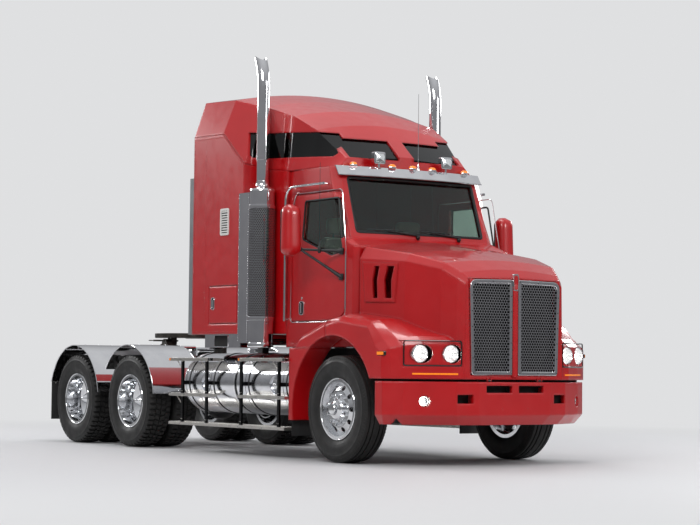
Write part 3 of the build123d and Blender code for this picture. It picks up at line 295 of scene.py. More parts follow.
def add_node(tree, kind, **inputs):
    """A shader node with its named inputs linked or set; an underscore stands for a space."""
    made = tree.nodes.new("ShaderNode" + kind)
    for name, value in inputs.items():
        plug(tree, made.inputs[name.replace("_", " ")], value)
    return made


def maths(tree, operation, *values):
    """One math step on sockets or numbers."""
    step = tree.nodes.new("ShaderNodeMath")
    step.operation = operation
    for socket, value in zip(step.inputs, values):
        plug(tree, socket, value)
    return step.outputs["Value"]


def set_ramp(ramp, low, low_colour, high, high_colour):
    elements = ramp.color_ramp.elements
    elements[0].position, elements[0].color = low, (*low_colour, 1)
    elements[1].position, elements[1].color = high, (*high_colour, 1)


def surface(name, colour, rough, metallic=0.0, tint=None, tint_scale=2.0, rough_spread=0.06, bump=0.0,
            bump_scale=200.0, stretch=(1, 1, 1), coat=0.0, coat_rough=0.03, transmission=0.0, glow=0.0,
            glow_colour=(1, 1, 1), sheen=0.0, soft_edge=0.0):
    """A principled material whose colour, roughness and relief come from noise in the row frame."""
    made = bpy.data.materials.new(name)
    made.use_nodes = True
    tree = made.node_tree
    shader = tree.nodes["Principled BSDF"]
    constants = {"Metallic": metallic, "Coat Weight": coat, "Coat Roughness": coat_rough,
                 "Transmission Weight": transmission, "IOR": 1.45, "Sheen Weight": sheen}
    if glow > 0:
        constants.update({"Emission Color": (*glow_colour, 1), "Emission Strength": glow})
    for socket, value in constants.items():
        shader.inputs[socket].default_value = value
    place = add_node(tree, "TexCoord").outputs["Object"]
    scaled = add_node(tree, "Mapping", Vector=place, Scale=stretch).outputs["Vector"]

    def noise(size, detail):
        return add_node(tree, "TexNoise", Vector=scaled, Scale=size, Detail=detail).outputs["Fac"]

    ramp = add_node(tree, "ValToRGB", Fac=noise(tint_scale, 4))
    set_ramp(ramp, 0.3, colour, 0.7, tint or tuple(value * 0.82 for value in colour))
    plug(tree, shader.inputs["Base Color"], ramp.outputs["Color"])
    spread = add_node(tree, "MapRange", Value=noise(9.0, 5), From_Min=0.3, From_Max=0.7,
                      To_Min=max(rough - rough_spread, 0.0), To_Max=rough + rough_spread)
    plug(tree, shader.inputs["Roughness"], spread.outputs["Result"])
    if soft_edge > 0:
        rounding = add_node(tree, "Bevel", Radius=soft_edge)
        rounding.samples = 6
        plug(tree, shader.inputs["Normal"], rounding.outputs["Normal"])
    if bump > 0:
        relief = add_node(tree, "Bump", Strength=1.0, Distance=bump, Height=noise(bump_scale, 3))
        plug(tree, shader.inputs["Normal"], relief.outputs["Normal"])
    return made


def mix_base_colour(made, mask, low=None, high=None):
    """Base colour is low where the mask is 0 and high where it is 1; the one left out stays as it was."""
    tree = made.node_tree
    base = tree.nodes["Principled BSDF"].inputs["Base Color"]
    before = base.links[0].from_socket
    mix = tree.nodes.new("ShaderNodeMix")
    mix.data_type = "RGBA"
    plug(tree, mix.inputs[0], mask)
    plug(tree, mix.inputs[6], before if low is None else (*low, 1))
    plug(tree, mix.inputs[7], before if high is None else (*high, 1))
    plug(tree, base, mix.outputs[2])


def height_in(tree):
    """Height in the row frame, as a socket."""
    place = add_node(tree, "TexCoord").outputs["Object"]
    return add_node(tree, "SeparateXYZ", Vector=place).outputs["Z"]


# Columns: name, colour, roughness, metallic, second colour and its scale, roughness spread,
# relief and its scale; the rest by name
red = surface("deep_red_paint", (0.5, 0.003, 0.006), 0.34, 0, (0.42, 0.002, 0.004), 1.3, coat=0.7,
              coat_rough=0.02, soft_edge=0.03)
bright_steel = surface("polished_stainless", (0.8, 0.8, 0.81), 0.07, 1.0, (0.72, 0.72, 0.74), 5, 0.03,
                       0.00002, 60)
chrome = surface("chrome_plate", (0.86, 0.87, 0.88), 0.035, 1.0, (0.8, 0.81, 0.83), rough_spread=0.02)
alloy = surface("polished_alloy", (0.8, 0.81, 0.83), 0.13, 1.0, (0.7, 0.71, 0.74), 7, 0.05, 0.00004, 90,
                stretch=(1, 3, 3))
wheel_alloy = surface("wheel_alloy", (0.82, 0.83, 0.84), 0.11, 1.0, (0.7, 0.71, 0.73), 12, 0.05)
satin_look = ((0.66, 0.64, 0.6), 0.33, 1.0, (0.52, 0.5, 0.47), 14, 0.1, 0.0001, 70, (1, 12, 12))
satin_alloy = surface("satin_alloy", *satin_look)
tread_alloy = surface("tread_plate_alloy", (0.5, 0.5, 0.51), 0.4, 1.0, (0.36, 0.36, 0.37), 9, 0.12, 0.0002,
                      120)
rubber = surface("tyre_rubber", (0.009, 0.009, 0.009), 0.56, 0, (0.017, 0.016, 0.015), 11, 0.12, 0.0002, 420)
flap_rubber = surface("flap_rubber", (0.016, 0.016, 0.017), 0.7, 0, (0.03, 0.03, 0.03), 6, 0.1, 0.0004, 160)
seal_rubber = surface("seal_rubber", (0.01, 0.01, 0.011), 0.45, rough_spread=0.1, bump=0.0001, bump_scale=300)
chassis_paint = surface("chassis_paint", (0.022, 0.022, 0.024), 0.4, 0, (0.045, 0.043, 0.041), 5, 0.12, 0.00015,
                        140)
cast_iron = surface("cast_iron", (0.05, 0.05, 0.052), 0.55, 0, (0.09, 0.085, 0.08), 18, 0.12, 0.0006, 120)
black_plastic = surface("black_plastic", (0.012, 0.012, 0.013), 0.42, rough_spread=0.08, bump=0.0002,
                        bump_scale=500)
gloss_black = surface("gloss_black", (0.008, 0.008, 0.009), 0.12, coat=0.6, rough_spread=0.05)
# Near-black finish for openings, recesses, gaps and grooves: painted shade where light does not reach.
painted_shade = surface("painted_shade_inside", (0.004, 0.004, 0.004), 0.8, rough_spread=0.05, bump=0.0002, bump_scale=90)
grey_paint = surface("grey_paint", (0.2, 0.21, 0.22), 0.42, 0, (0.15, 0.155, 0.165), 4, 0.1, 0.0001, 160)
greased_steel = surface("greased_steel", (0.035, 0.033, 0.03), 0.34, 0.6, (0.075, 0.068, 0.058), 16, 0.16,
                        0.0004, 90)
white_plastic = surface("white_plastic", (0.72, 0.71, 0.68), 0.4, rough_spread=0.06, bump=0.0001,
                        bump_scale=220)
lens_clear = surface("lamp_glass", (0.95, 0.96, 0.96), 0.03, 0, (0.9, 0.92, 0.92), transmission=1.0,
                     rough_spread=0.02)
lamp_bowl = surface("lamp_reflector", (0.9, 0.9, 0.92), 0.1, 0.8, glow=0.42, glow_colour=(1, 0.97, 0.93),
                    bump=0.0004, bump_scale=160)
bulb = surface("lit_bulb", (1.0, 0.98, 0.92), 0.3, glow=12.0, glow_colour=(1, 0.97, 0.9))
amber = surface("amber_lens", (0.85, 0.22, 0.015), 0.16, 0, (0.7, 0.16, 0.01), 60, coat=0.5, glow=0.35,
                glow_colour=(1.0, 0.3, 0.02))
red_lens = surface("red_lens", (0.45, 0.01, 0.01), 0.15, 0, (0.32, 0.006, 0.006), 60, coat=0.5)
screen_glass = surface("tinted_glass", (0.42, 0.52, 0.47), 0.01, 0, (0.38, 0.47, 0.43), transmission=1.0,
                       rough_spread=0.01)
side_glass = surface("side_glass", (0.46, 0.58, 0.52), 0.01, 0, (0.42, 0.54, 0.48), transmission=1.0,
                     rough_spread=0.01)
mirror_glass = surface("mirror_glass", (0.88, 0.9, 0.92), 0.01, 1.0, rough_spread=0.008)
dash_plastic = surface("dash_plastic", (0.035, 0.033, 0.031), 0.55, rough_spread=0.08, bump=0.0004,
                       bump_scale=420)
seat_cloth = surface("seat_cloth", (0.26, 0.235, 0.19), 0.85, 0, (0.2, 0.18, 0.145), 160, 0.06, 0.0006, 700,
                     sheen=0.3)
trim_cloth = surface("trim_cloth", (0.24, 0.22, 0.18), 0.85, 0, (0.19, 0.17, 0.14), 90, 0.06, 0.0004, 500,
                     sheen=0.2)


def black_posts(made, levels, half):
    """The step frames are black between the bright planks, which lie at the given heights."""
    tree = made.node_tree
    height = height_in(tree)
    near = [maths(tree, "COMPARE", height, level, half) for level in levels]
    mask = near[0]
    for other in near[1:]:
        mask = maths(tree, "MAXIMUM", mask, other)
    mix_base_colour(made, mask, low=(0.01, 0.01, 0.011))


plank_levels, plank_half = (0.98, 0.605, 0.3), 0.0155
step_finish = surface("step_frame", *satin_look)
black_posts(step_finish, plank_levels, plank_half)


def dark_roof_glass(made, level):
    """Panes above a height are made nearly black."""
    mask = maths(made.node_tree, "GREATER_THAN", height_in(made.node_tree), level)
    mix_base_colour(made, mask, high=(0.012, 0.012, 0.014))


roof_glass_bottom = 2.9
dark_roof_glass(screen_glass, roof_glass_bottom)

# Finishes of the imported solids, whose names may end with a number and a side
node_finish = {
    red: "bumper cab_shell sleeper_body sleeper_roof rear_quarters bonnet door mirror locker_door",
    chassis_paint: "frame_rails front_axle_beam suspension drive_axles chassis_lamps",
    bright_steel: "sun_visor exhausts rear_guards grab_rails grille",
    cast_iron: "engine_block knuckle", gloss_black: "radiator head_lamps", dash_plastic: "cab_interior",
    trim_cloth: "bunk", screen_glass: "fixed_glass", side_glass: "door_glass", grey_paint: "rear_extenders",
    amber: "roof_lamps", alloy: "fuel_tanks", step_finish: "side_steps", flap_rubber: "mud_flaps",
    tread_alloy: "deck_plate", greased_steel: "fifth_wheel_base fifth_wheel_plate",
    wheel_alloy: "rim_front rims_rear", rubber: "tyre_front tyres_rear",
}
finish_of = {name: finish for finish, names in node_finish.items() for name in names.split()}
for name, node in nodes.items():
    for ending in ("_left", "_right", "_1", "_2"):
        name = name.removesuffix(ending)
    for slot in node.material_slots:
        slot.material = finish_of[name]


# Wheels and tyres

tyre_wall = (
    (0.2985, 0.107), (0.308, 0.116), (0.322, 0.1265), (0.34, 0.1335), (0.343, 0.1355), (0.349, 0.1355),
    (0.352, 0.1375), (0.385, 0.1412), (0.42, 0.142), (0.445, 0.1405), (0.448, 0.142), (0.452, 0.1415),
    (0.455, 0.1388), (0.475, 0.135), (0.49, 0.129),
)


def add_tyre(pile, x, y, tread, around):
    """A tyre whose half outline of (radius, y) runs from the bead over the wall to the middle of the tread."""
    outline = [*tyre_wall, *tread]
    mirrored = [(radius, -along) for radius, along in reversed(outline)]
    inner_ring = [(0.278, -0.1), (0.278, 0.1)]
    pile.turned(outline + mirrored + inner_ring, (x, y, tyre_radius), (0, 1, 0), around, closed=True)


def add_lugs(pile, x, y, section, count, share, lean=0.0, offset=0.0):
    """Lugs around a tyre: a section of (radius, y) carried over a share of each pitch."""
    pitch = 2 * math.pi / count
    for index in range(count):
        start = index * pitch + offset
        loops = []
        for part in (0, 0.5, 1):
            ring = []
            for radius, along in section:
                angle = start + pitch * share * part + lean * along
                ring.append((x + radius * math.cos(angle), y + along, tyre_radius + radius * math.sin(angle)))
            loops.append(ring)
        pile.strip(loops, caps=True)


def build_tyres():
    """Ribbed steering tyres and lugged drive tyres, the twins as one piece."""
    steer_tread = [
        (0.504, 0.1215), (0.5085, 0.118), (0.51, 0.088), (0.499, 0.086), (0.499, 0.077),
        (0.5122, 0.075), (0.5135, 0.043), (0.501, 0.041), (0.501, 0.031), (0.5145, 0.029),
        (0.5148, 0.005),
    ]
    drive_tread = [(0.493, 0.115), (0.496, 0.06), (0.497, 0.01)]
    shoulder = ((0.49, 0.064), (0.5125, 0.066), (0.5105, 0.112), (0.505, 0.124), (0.48, 0.1355),
                (0.47, 0.129))
    middle = ((0.49, 0.005), (0.5145, 0.006), (0.514, 0.056), (0.49, 0.057))
    rib = ((0.476, 0.13), (0.479, 0.1368), (0.502, 0.1262), (0.5, 0.118))
    for side, sign in sides:
        front = Pile()
        add_tyre(front, front_axle_x, sign * front_rim_y, steer_tread, 128)
        for face in (1, -1):
            section = [(radius, along * face) for radius, along in rib]
            add_lugs(front, front_axle_x, sign * front_rim_y, section, 96, 0.62)
        make(front, f"tyre_front_{side}_tread", [rubber], f"wheel_front_{side}", crease=38,
             replaced=[f"tyre_front_{side}"])
        for number, x in drive_axles:
            pair = Pile()
            for y in (outer_rim_y, inner_rim_y):
                add_tyre(pair, x, sign * y, drive_tread, 88)
                for face in (1, -1):
                    lugs = [(radius, along * face) for radius, along in shoulder]
                    add_lugs(pair, x, sign * y, lugs, 52, 0.62, offset=0.03 * face)
                    lugs = [(radius, along * face) for radius, along in middle]
                    add_lugs(pair, x, sign * y, lugs, 52, 0.74, lean=0.6 * face, offset=0.05 * face)
            make(pair, f"tyres_rear_{number}_{side}_tread", [rubber], f"wheels_rear_{number}_{side}",
                 crease=38, replaced=[f"tyres_rear_{number}_{side}"])


def build_wheel_trim():
    """Hubs with their nuts and bolts, and the lips of the outer rims."""
    seat_gap, flange_reach, nut_radius, hub_bolt_circle = 0.0004, 0.117, 0.0165, 0.111
    front_hub = [
        (0.1, 0.0), (0.1, 0.027), (0.093, 0.036), (0.067, 0.042), (0.056, 0.05), (0.053, 0.076),
        (0.048, 0.0815), (0.02, 0.084),
    ]
    rear_hub = [
        (0.123, 0.0), (0.123, 0.02), (0.118, 0.026), (0.1, 0.028), (0.0985, 0.079), (0.094, 0.09),
        (0.088, 0.096), (0.062, 0.132), (0.032, 0.175), (0.014, 0.196), (0.006, 0.2),
    ]
    for side, sign in sides:
        axis = (0, sign, 0)
        trim = Pile()
        centre = (front_axle_x, sign * (front_face_y + seat_gap), tyre_radius)
        trim.turned(front_hub, centre, axis, 48)
        add_nuts(trim, front_axle_x, sign * front_face_y, axis, nut_circle, nut_radius, 0.044)
        rim_edge(trim, front_axle_x, sign * (front_rim_y + flange_reach), axis)
        make(trim, f"front_hub_{side}", [chrome], f"wheel_front_{side}")
        for number, x in drive_axles:
            trim = Pile()
            trim.turned(rear_hub, (x, sign * (rear_face_y + seat_gap), tyre_radius), axis, 48)
            add_nuts(trim, x, sign * rear_face_y, axis, nut_circle + 0.008, nut_radius, 0.05)
            for index in range(8):
                angle = 2 * math.pi * (index + 0.5) / 8
                spot = (x + hub_bolt_circle * math.cos(angle), sign * (rear_face_y + 0.0262),
                        tyre_radius + hub_bolt_circle * math.sin(angle))
                trim.dome(spot, axis, 0.008, 0.012, around=6)
            rim_edge(trim, x, sign * (outer_rim_y + flange_reach), axis)
            make(trim, f"rear_hub_{number}_{side}", [chrome], f"wheels_rear_{number}_{side}")


def add_nuts(pile, x, y, axis, reach, radius, height):
    for index in range(10):
        angle = 2 * math.pi * (index + 0.5) / 10
        pile.nut((x + reach * math.cos(angle), y, tyre_radius + reach * math.sin(angle)), axis, radius, height)


def rim_edge(pile, x, y, axis):
    """Rolled lip over the rim's flange."""
    profile = [(0.293, -0.006), (0.299, -0.006), (0.2995, 0.0), (0.297, 0.0035), (0.29, 0.004),
               (0.286, 0.001), (0.286, -0.004)]
    pile.turned(profile, (x, y, tyre_radius), axis, 96, closed=True)


# Front: grille, lamps and bumper

def build_grille():
    """Two pierced panels in bolted frames, with the bar and cap between them, and a dark sheet behind the mesh as
    painted shade.
    """
    low, high = 0.853, 1.745
    inner_y, low_y, high_y = 0.036, 0.513, 0.538
    frame_width, cell_pitch, mesh_width = 0.034, 0.0285, 0.443
    face = grille_front + 0.002
    frames, mesh, painted_shade_sheet = Pile(), Pile(), Pile()
    for sign in (1, -1):
        def outline(inset, radii):
            return flat_loop([(sign * (inner_y + inset), low + inset), (sign * (low_y - inset), low + inset),
                              (sign * (high_y - inset), high - 0.01 - inset),
                              (sign * (inner_y + inset), high - inset)], radii)

        def place(u, v, depth):
            reach = mesh_width + 0.025 * (v - low) / (high - low)
            return (face - 0.02 - depth, sign * (0.062 + u / mesh_width * reach), v)

        outer = outline(0, (0.012, 0.03, 0.075, 0.012))
        inner = outline(frame_width, (0.01, 0.014, 0.045, 0.01))
        frames.ring_plate(outer, inner, face - 0.034, face, lip=0.004)
        bolts = []
        for z in (0.872, 1.01, 1.155, 1.3, 1.445, 1.59, 1.726):
            share = (z - low) / (high - low)
            if z < 1.7:
                bolts.append((low_y + (high_y - low_y) * share - frame_width / 2, z))
            bolts.append((inner_y + frame_width / 2, z))
        bolts += [(0.27, low + 0.017), (0.27, high - 0.02)]
        for y, z in bolts:
            frames.dome((face, sign * y, z), (1, 0, 0), 0.006, 0.0035, mark=1)
        corner = [point for point in outer if abs(point[0]) > 0.45 and point[1] > 1.6]
        corner.append((sign * 0.541, high + 0.002))
        frames.plate(corner, face - 0.03, face - 0.009, mark=2)
        mesh.pierced(place, (0.0, mesh_width), (low + 0.022, high - 0.03), cell_pitch, 0.8, 0.004)
        # A dark sheet behind the mesh: painted shade seen through the grille.
        painted_shade_sheet.box(3.575, 3.578, sign * 0.04, sign * 0.5, low + 0.015, high - 0.02)
    make(frames, "grille_frames", [bright_steel, black_plastic, red], "bonnet", replaced=["grille"])
    make(mesh, "grille_mesh", [bright_steel], "bonnet", crease=20)
    make(painted_shade_sheet, "grille_shade", [painted_shade], "bonnet")

    bar = Pile()
    spine = ((3.64, 0.829), (3.653, 0.84), (3.654, 1.64), (3.6535, 1.7), (3.64, 1.745), (3.61, 1.792))
    section = ((-0.04, -0.03), (-0.006, -0.03), (0, -0.022), (0, 0.022), (-0.006, 0.03), (-0.04, 0.03))
    bar.strip([[(x + back, y, z) for back, y in section] for x, z in spine], caps=True)
    make(bar, "grille_centre_bar", [red], "bonnet", crease=25)

    cap = Pile()
    outline = flat_loop([(-0.026, 1.64), (0.026, 1.64), (0.034, 1.735), (0.03, 1.8), (-0.03, 1.8),
                         (-0.034, 1.735)], (0.012, 0.012, 0.02, 0.012, 0.012, 0.02))
    middle_z = 1.722
    inner = [(y * 0.74, middle_z + (z - middle_z) * 0.82) for y, z in outline]
    cap.ring_plate(outline, inner, 3.628, 3.6548, lip=0.003)
    cap.plate(inner, 3.628, 3.6525, mark=1)
    make(cap, "bonnet_front_cap", [chrome, red], "bonnet", crease=28)


def flat_loop(corners, radii, steps=5):
    """A closed flat outline with its own radius at each corner."""
    loop = []
    count = len(corners)
    for index, (corner, radius) in enumerate(zip(corners, radii)):
        here = Vector(corner)
        before = Vector(corners[index - 1]) - here
        after = Vector(corners[(index + 1) % count]) - here
        start = here + before.normalized() * radius
        end = here + after.normalized() * radius
        for step in range(steps + 1):
            t = step / steps
            point = start * (1 - t) ** 2 + here * 2 * t * (1 - t) + end * t ** 2
            loop.append((point.x, point.y))
    return loop


fender_front = ((0.56, 3.625), (0.7, 3.59), (0.93, 3.455), (1.08, 3.35), (1.165, 3.265), (1.212, 3.19))


def fender_x(y):
    """Front face of the fender at a half width."""
    for (y0, x0), (y1, x1) in zip(fender_front, fender_front[1:]):
        if y <= y1:
            return x0 + (x1 - x0) * (y - y0) / (y1 - y0)
    return fender_front[-1][1]


def build_head_lamps():
    lamp_z, bowl_radius, bowl_depth, bowl_steps = 1.045, 0.0768, 0.052, 9
    bowls, lenses = Pile(), Pile()
    lamps = ((3.56, 0.688), (3.425, 0.938))
    for sign in (1, -1):
        for x, y in lamps:
            centre = (x, sign * y, lamp_z)
            bowls.turned([(0.087, -0.07), (0.087, -0.004), (0.085, 0.004), (0.08, 0.006),
                          (0.077, 0.002), (0.077, -0.006), (0.077, -0.066)], centre, (1, 0, 0), 48, mark=0)
            bowl = []
            for step in range(bowl_steps):
                radius = bowl_radius * (1 - step / bowl_steps)
                bowl.append((radius, -0.004 - bowl_depth * (1 - (radius / bowl_radius) ** 2)))
            behind = [(radius, along - 0.003) for radius, along in reversed(bowl)]
            bowls.turned(bowl + behind, centre, (1, 0, 0), 40, mark=1, closed=True)
            bowls.turned([(0.004, -0.052), (0.013, -0.047), (0.016, -0.034), (0.013, -0.022), (0.004, -0.018)],
                         centre, (1, 0, 0), 20, mark=2)
            lenses.turned([(0.0766, -0.003), (0.0766, 0.001), (0.06, 0.008), (0.035, 0.0125), (0.01, 0.014),
                           (0.002, 0.014), (0.002, 0.011), (0.035, 0.0095), (0.06, 0.005), (0.075, -0.003)],
                          centre, (1, 0, 0), 40, closed=True)
    make(bowls, "head_lamp_bowls", [chrome, lamp_bowl, bulb], "bonnet", replaced=["head_lamps"])
    make(lenses, "head_lamp_lenses", [lens_clear], "bonnet")

    trim = Pile()
    bezel_low, bezel_high, strip_z = 0.936, 1.162, 0.86
    stations = (0.606, 0.7, 0.8, 0.93, 1.0, 1.074)
    section = ((-0.003, -0.009), (0.0035, -0.007), (0.0035, 0.007), (-0.003, 0.009))
    for sign in (1, -1):
        path = [(fender_x(y) - 0.0006, sign * y, bezel_low) for y in stations]
        path += [(fender_x(y) - 0.0006, sign * y, bezel_high) for y in reversed(stations)]
        trim.tube(soft_path(path, 0.02, 3), 0.0068, around=8, closed=True)
        trim.strip([[(fender_x(y) + 0.0006 + ahead, sign * y, strip_z + up) for ahead, up in section]
                    for y in (0.64, 0.7, 0.8, 0.93, 1.01)], mark=1, caps=True)
        face = sign * 1.213
        trim.plate(rounded(3.128, 3.232, 1.026, 1.066, 0.006, 3), face - sign * 0.03, face, axis=1)
        trim.plate(rounded(3.134, 3.226, 1.031, 1.061, 0.005, 3), face, face + sign * 0.01, axis=1, mark=1)
    make(trim, "lamp_trim", [gloss_black, amber], "bonnet")


def build_bumper_trim():
    """Dark sheets in the bumper's openings and in the gap under the bonnet as painted shade, its fog lamps, the
    splash panels and the tail lamps.
    """
    trim = Pile()
    for sign in (1, -1):
        # Dark sheets in the bumper's openings: painted shade.
        trim.box(3.56, 3.563, sign * 0.03, sign * 0.35, 0.68, 0.765)
        trim.box(3.535, 3.538, sign * 0.47, sign * 0.65, 0.58, 0.68)
        axis = Vector((200, sign * 80, 0)).normalized()
        centre = Vector((3.425, sign * 0.896, 0.608))
        trim.turned([(0.0495, -0.06), (0.0495, 0.004), (0.046, 0.008), (0.042, 0.003), (0.04, -0.01),
                     (0.03, -0.03), (0.01, -0.04)], centre, axis, 36, mark=1)
        trim.turned([(0.0425, 0.0015), (0.03, 0.005), (0.002, 0.0065), (0.002, 0.0035), (0.0415, -0.001)],
                    centre, axis, 36, mark=2, closed=True)
        trim.turned([(0.002, -0.034), (0.011, -0.03), (0.012, -0.018), (0.002, -0.012)], centre, axis, 16, mark=3)
    # A dark shelf and a thin dark strip named seal fill the gap between bumper and bonnet: painted shade, not a
    # rubber seal.
    gap_shade_shelf = ((3.6, 0.0), (3.596, 0.4), (3.548, 0.62), (3.412, 0.885), (3.3, 1.04), (3.165, 1.155))
    seal = ((3.575, 0.4), (3.57, 0.54), (3.535, 0.68), (3.405, 0.9), (3.3, 1.045), (3.215, 1.125),
            (3.14, 1.16), (3.088, 1.172))
    for outline, depth, low, high in ((gap_shade_shelf, 0.12, 0.78, 0.7875), (seal, 0.004, 0.775, 0.832)):
        for sign in (1, -1):
            loops = []
            for x, y in outline:
                inner_y = y - 0.02 * min(y / 0.4, 1) if outline is gap_shade_shelf else y
                loops.append([(x, sign * y, low), (x, sign * y, high), (x - depth, sign * inner_y, high),
                              (x - depth, sign * inner_y, low)])
            trim.strip(loops, caps=True)
    make(trim, "bumper_trim", [painted_shade, chrome, lens_clear, bulb])

    screens = Pile()
    panel = [(1.2, 1.012), (2.86, 1.012), (2.86, 1.105), (1.2, 1.105)]
    for sign in (1, -1):
        screens.plate(panel, sign * 0.585, sign * 0.59, axis=1)
        screens.box(1.618, 1.624, sign * 0.9, sign * 1.175, 0.235, 0.47)
    make(screens, "splash_panels", [flap_rubber])

    tail = Pile()
    x = -3.4456
    for sign in (1, -1):
        for low, high, mark in ((0.212, 0.278, 1), (0.282, 0.338, 2), (0.342, 0.408, 1)):
            outline = rounded(*sorted((sign * low, sign * high)), 0.893, 0.977, 0.008, 3)
            tail.plate(outline, x, x - 0.012, mark=mark)
        tail.box(x + 0.0004, x + 0.044, sign * 0.2005, sign * 0.4195, 0.8855, 0.9845)
    make(tail, "tail_lamps", [black_plastic, red_lens, amber], bevel=0.002,
         replaced=["chassis_lamps"])


# Cab

cab_rows = (
    (1.11, 0.95, 2.33, 2.365, 0.9, 2.375),
    (2.09, 0.95, 2.33, 2.372, 0.9, 2.395),
    (2.185, 0.948, 2.085, 2.145, 0.87, 2.2),
    (2.9, 0.915, 1.85, 1.91, 0.82, 1.965),
)


def cab_values(z):
    for low, high in zip(cab_rows, cab_rows[1:]):
        if z <= high[0]:
            t = (z - low[0]) / (high[0] - low[0])
            return [a + (b - a) * t for a, b in zip(low, high)]
    return list(cab_rows[-1])


def cab_front(y, z):
    """The cab's front surface at a place across and up."""
    row = cab_values(z)
    return row[5] - (row[5] - row[3]) * min(abs(y) / row[4], 1) ** 2


def cab_side(z):
    return cab_values(z)[1]


def build_screen_trim():
    """Windscreen seal and wipers."""
    trim = Pile()
    low, high, low_y, high_y = 2.235, 2.79, 0.775, 0.768
    across, up = 10, 5
    outline = [(-low_y + 2 * low_y * index / across, low) for index in range(across + 1)]
    outline += [(low_y - 0.007 * index / up, low + (high - low) * index / up) for index in range(1, up)]
    outline += [(high_y - 2 * high_y * index / across, high) for index in range(across + 1)]
    outline += [(-high_y - 0.007 * index / up, high - (high - low) * index / up) for index in range(1, up)]
    path = [(cab_front(y, z) - 0.01, y, z) for y, z in outline]
    trim.tube(soft_path(path, 0.03, 2), 0.017, around=10, closed=True)
    make(trim, "windscreen_seal", [seal_rubber])

    wipers = Pile()
    base_z, tip_z = 2.213, 2.262
    for pivot_y, tip_y in ((-0.08, -0.66), (0.44, -0.1)):
        pivot = Vector((cab_front(pivot_y, base_z) + 0.012, pivot_y, base_z))
        wipers.turned([(0.02, -0.03), (0.022, 0.004), (0.014, 0.016), (0.004, 0.02)], pivot, (0.6, 0, 0.8), 16)
        middle_y = pivot_y * 0.35 + tip_y * 0.65
        arm = [pivot + Vector((0.006, 0, 0.012)), (cab_front(middle_y, tip_z) + 0.016, middle_y, tip_z)]
        wipers.tube(arm, [0.009, 0.006], around=8)
        blade = []
        for index in range(9):
            y = tip_y + (middle_y - tip_y) * 2.0 * index / 8
            z = tip_z + 0.01 - 0.004 * abs(index - 4) / 4
            blade.append((cab_front(y, z) + 0.01, y, z))
        wipers.tube(blade, 0.0055, around=6)
    make(wipers, "wipers", [black_plastic])


def build_visor_trim():
    """Bead and rivets of the sun visor, with the lamps and aerial on it."""
    trim = Pile()
    half_width, rise, back_x = 0.886, 0.078, 1.916
    foot = 2.9066

    def top_x(y):
        return back_x + rise * (1 - (y / half_width) ** 2)

    edge = []
    for y in (-0.886, -0.66, -0.443, -0.22, 0, 0.22, 0.443, 0.66, 0.886):
        station = y / 0.443
        nearest = round(station)
        if abs(station - nearest) < 0.01:
            edge.append((back_x + rise * (1 - min(abs(nearest), 2) ** 2 / 4) + 0.0575, y, 2.8105))
        else:
            edge.append((top_x(y) + 0.0575, y, 2.8105))
    trim.tube(edge, 0.0075, around=10)
    for index in range(9):
        y = -0.8 + 0.2 * index
        trim.dome((top_x(y) - 0.01, y, 2.9062), (0, 0, 1), 0.006, 0.003)
    make(trim, "visor_trim", [bright_steel])

    lamps = Pile()

    def ovals(x, y, radius_x, radius_y, stages):
        """Ovals as (height, share of size) over a place on the visor."""
        return [[(x + radius_x * math.cos(a) * 1.25 * share, y + radius_y * math.sin(a) * share, foot + level)
                 for a in angles(20)] for level, share in stages]

    for y in (-0.691, -0.25, 0.0, 0.25, 0.691):
        x = top_x(y) - 0.006
        base = ovals(x, y, 0.034, 0.045, ((0, 1.0), (0.01, 1.0)))
        lamps.strip(base + ovals(x, y, 0.03, 0.041, ((0.014, 1.0),)), caps=True)
        lens = ((0.0138, 1.0), (0.026, 0.94), (0.036, 0.72), (0.041, 0.34))
        lamps.strip(ovals(x, y, 0.029, 0.04, lens), mark=1, caps=True)
    for y in (-0.416, 0.416):
        x = top_x(y) - 0.002
        lamp_z = foot + 0.094
        lamps.box(x - 0.012, x + 0.016, y - 0.012, y + 0.012, foot, foot + 0.04, soft=0.003)
        outline, small, lens = (
            rounded(y - half_y, y + half_y, lamp_z - half_z, lamp_z + half_z, radius, 4)
            for half_y, half_z, radius in ((0.069, 0.06, 0.018), (0.052, 0.044, 0.016), (0.05, 0.042, 0.015)))
        stages = ((small, -0.03), (outline, -0.018), (outline, 0.03), (small, 0.036))
        lamps.strip([raised(loop, 0, x + level) for loop, level in stages], caps=True)
        lamps.plate(lens, x + 0.0358, x + 0.0385, mark=2)
    aerial = (1.944, 0.1)
    lamps.turned([(0.016, 0.0), (0.016, 0.02), (0.009, 0.034), (0.006, 0.07)], (*aerial, foot), (0, 0, 1), 16)
    lamps.tube([(*aerial, foot + 0.06), (*aerial, 3.69)], [0.0035, 0.002], around=8)
    make(lamps, "roof_lamp_set", [chrome, amber, lens_clear], replaced=["roof_lamps"])


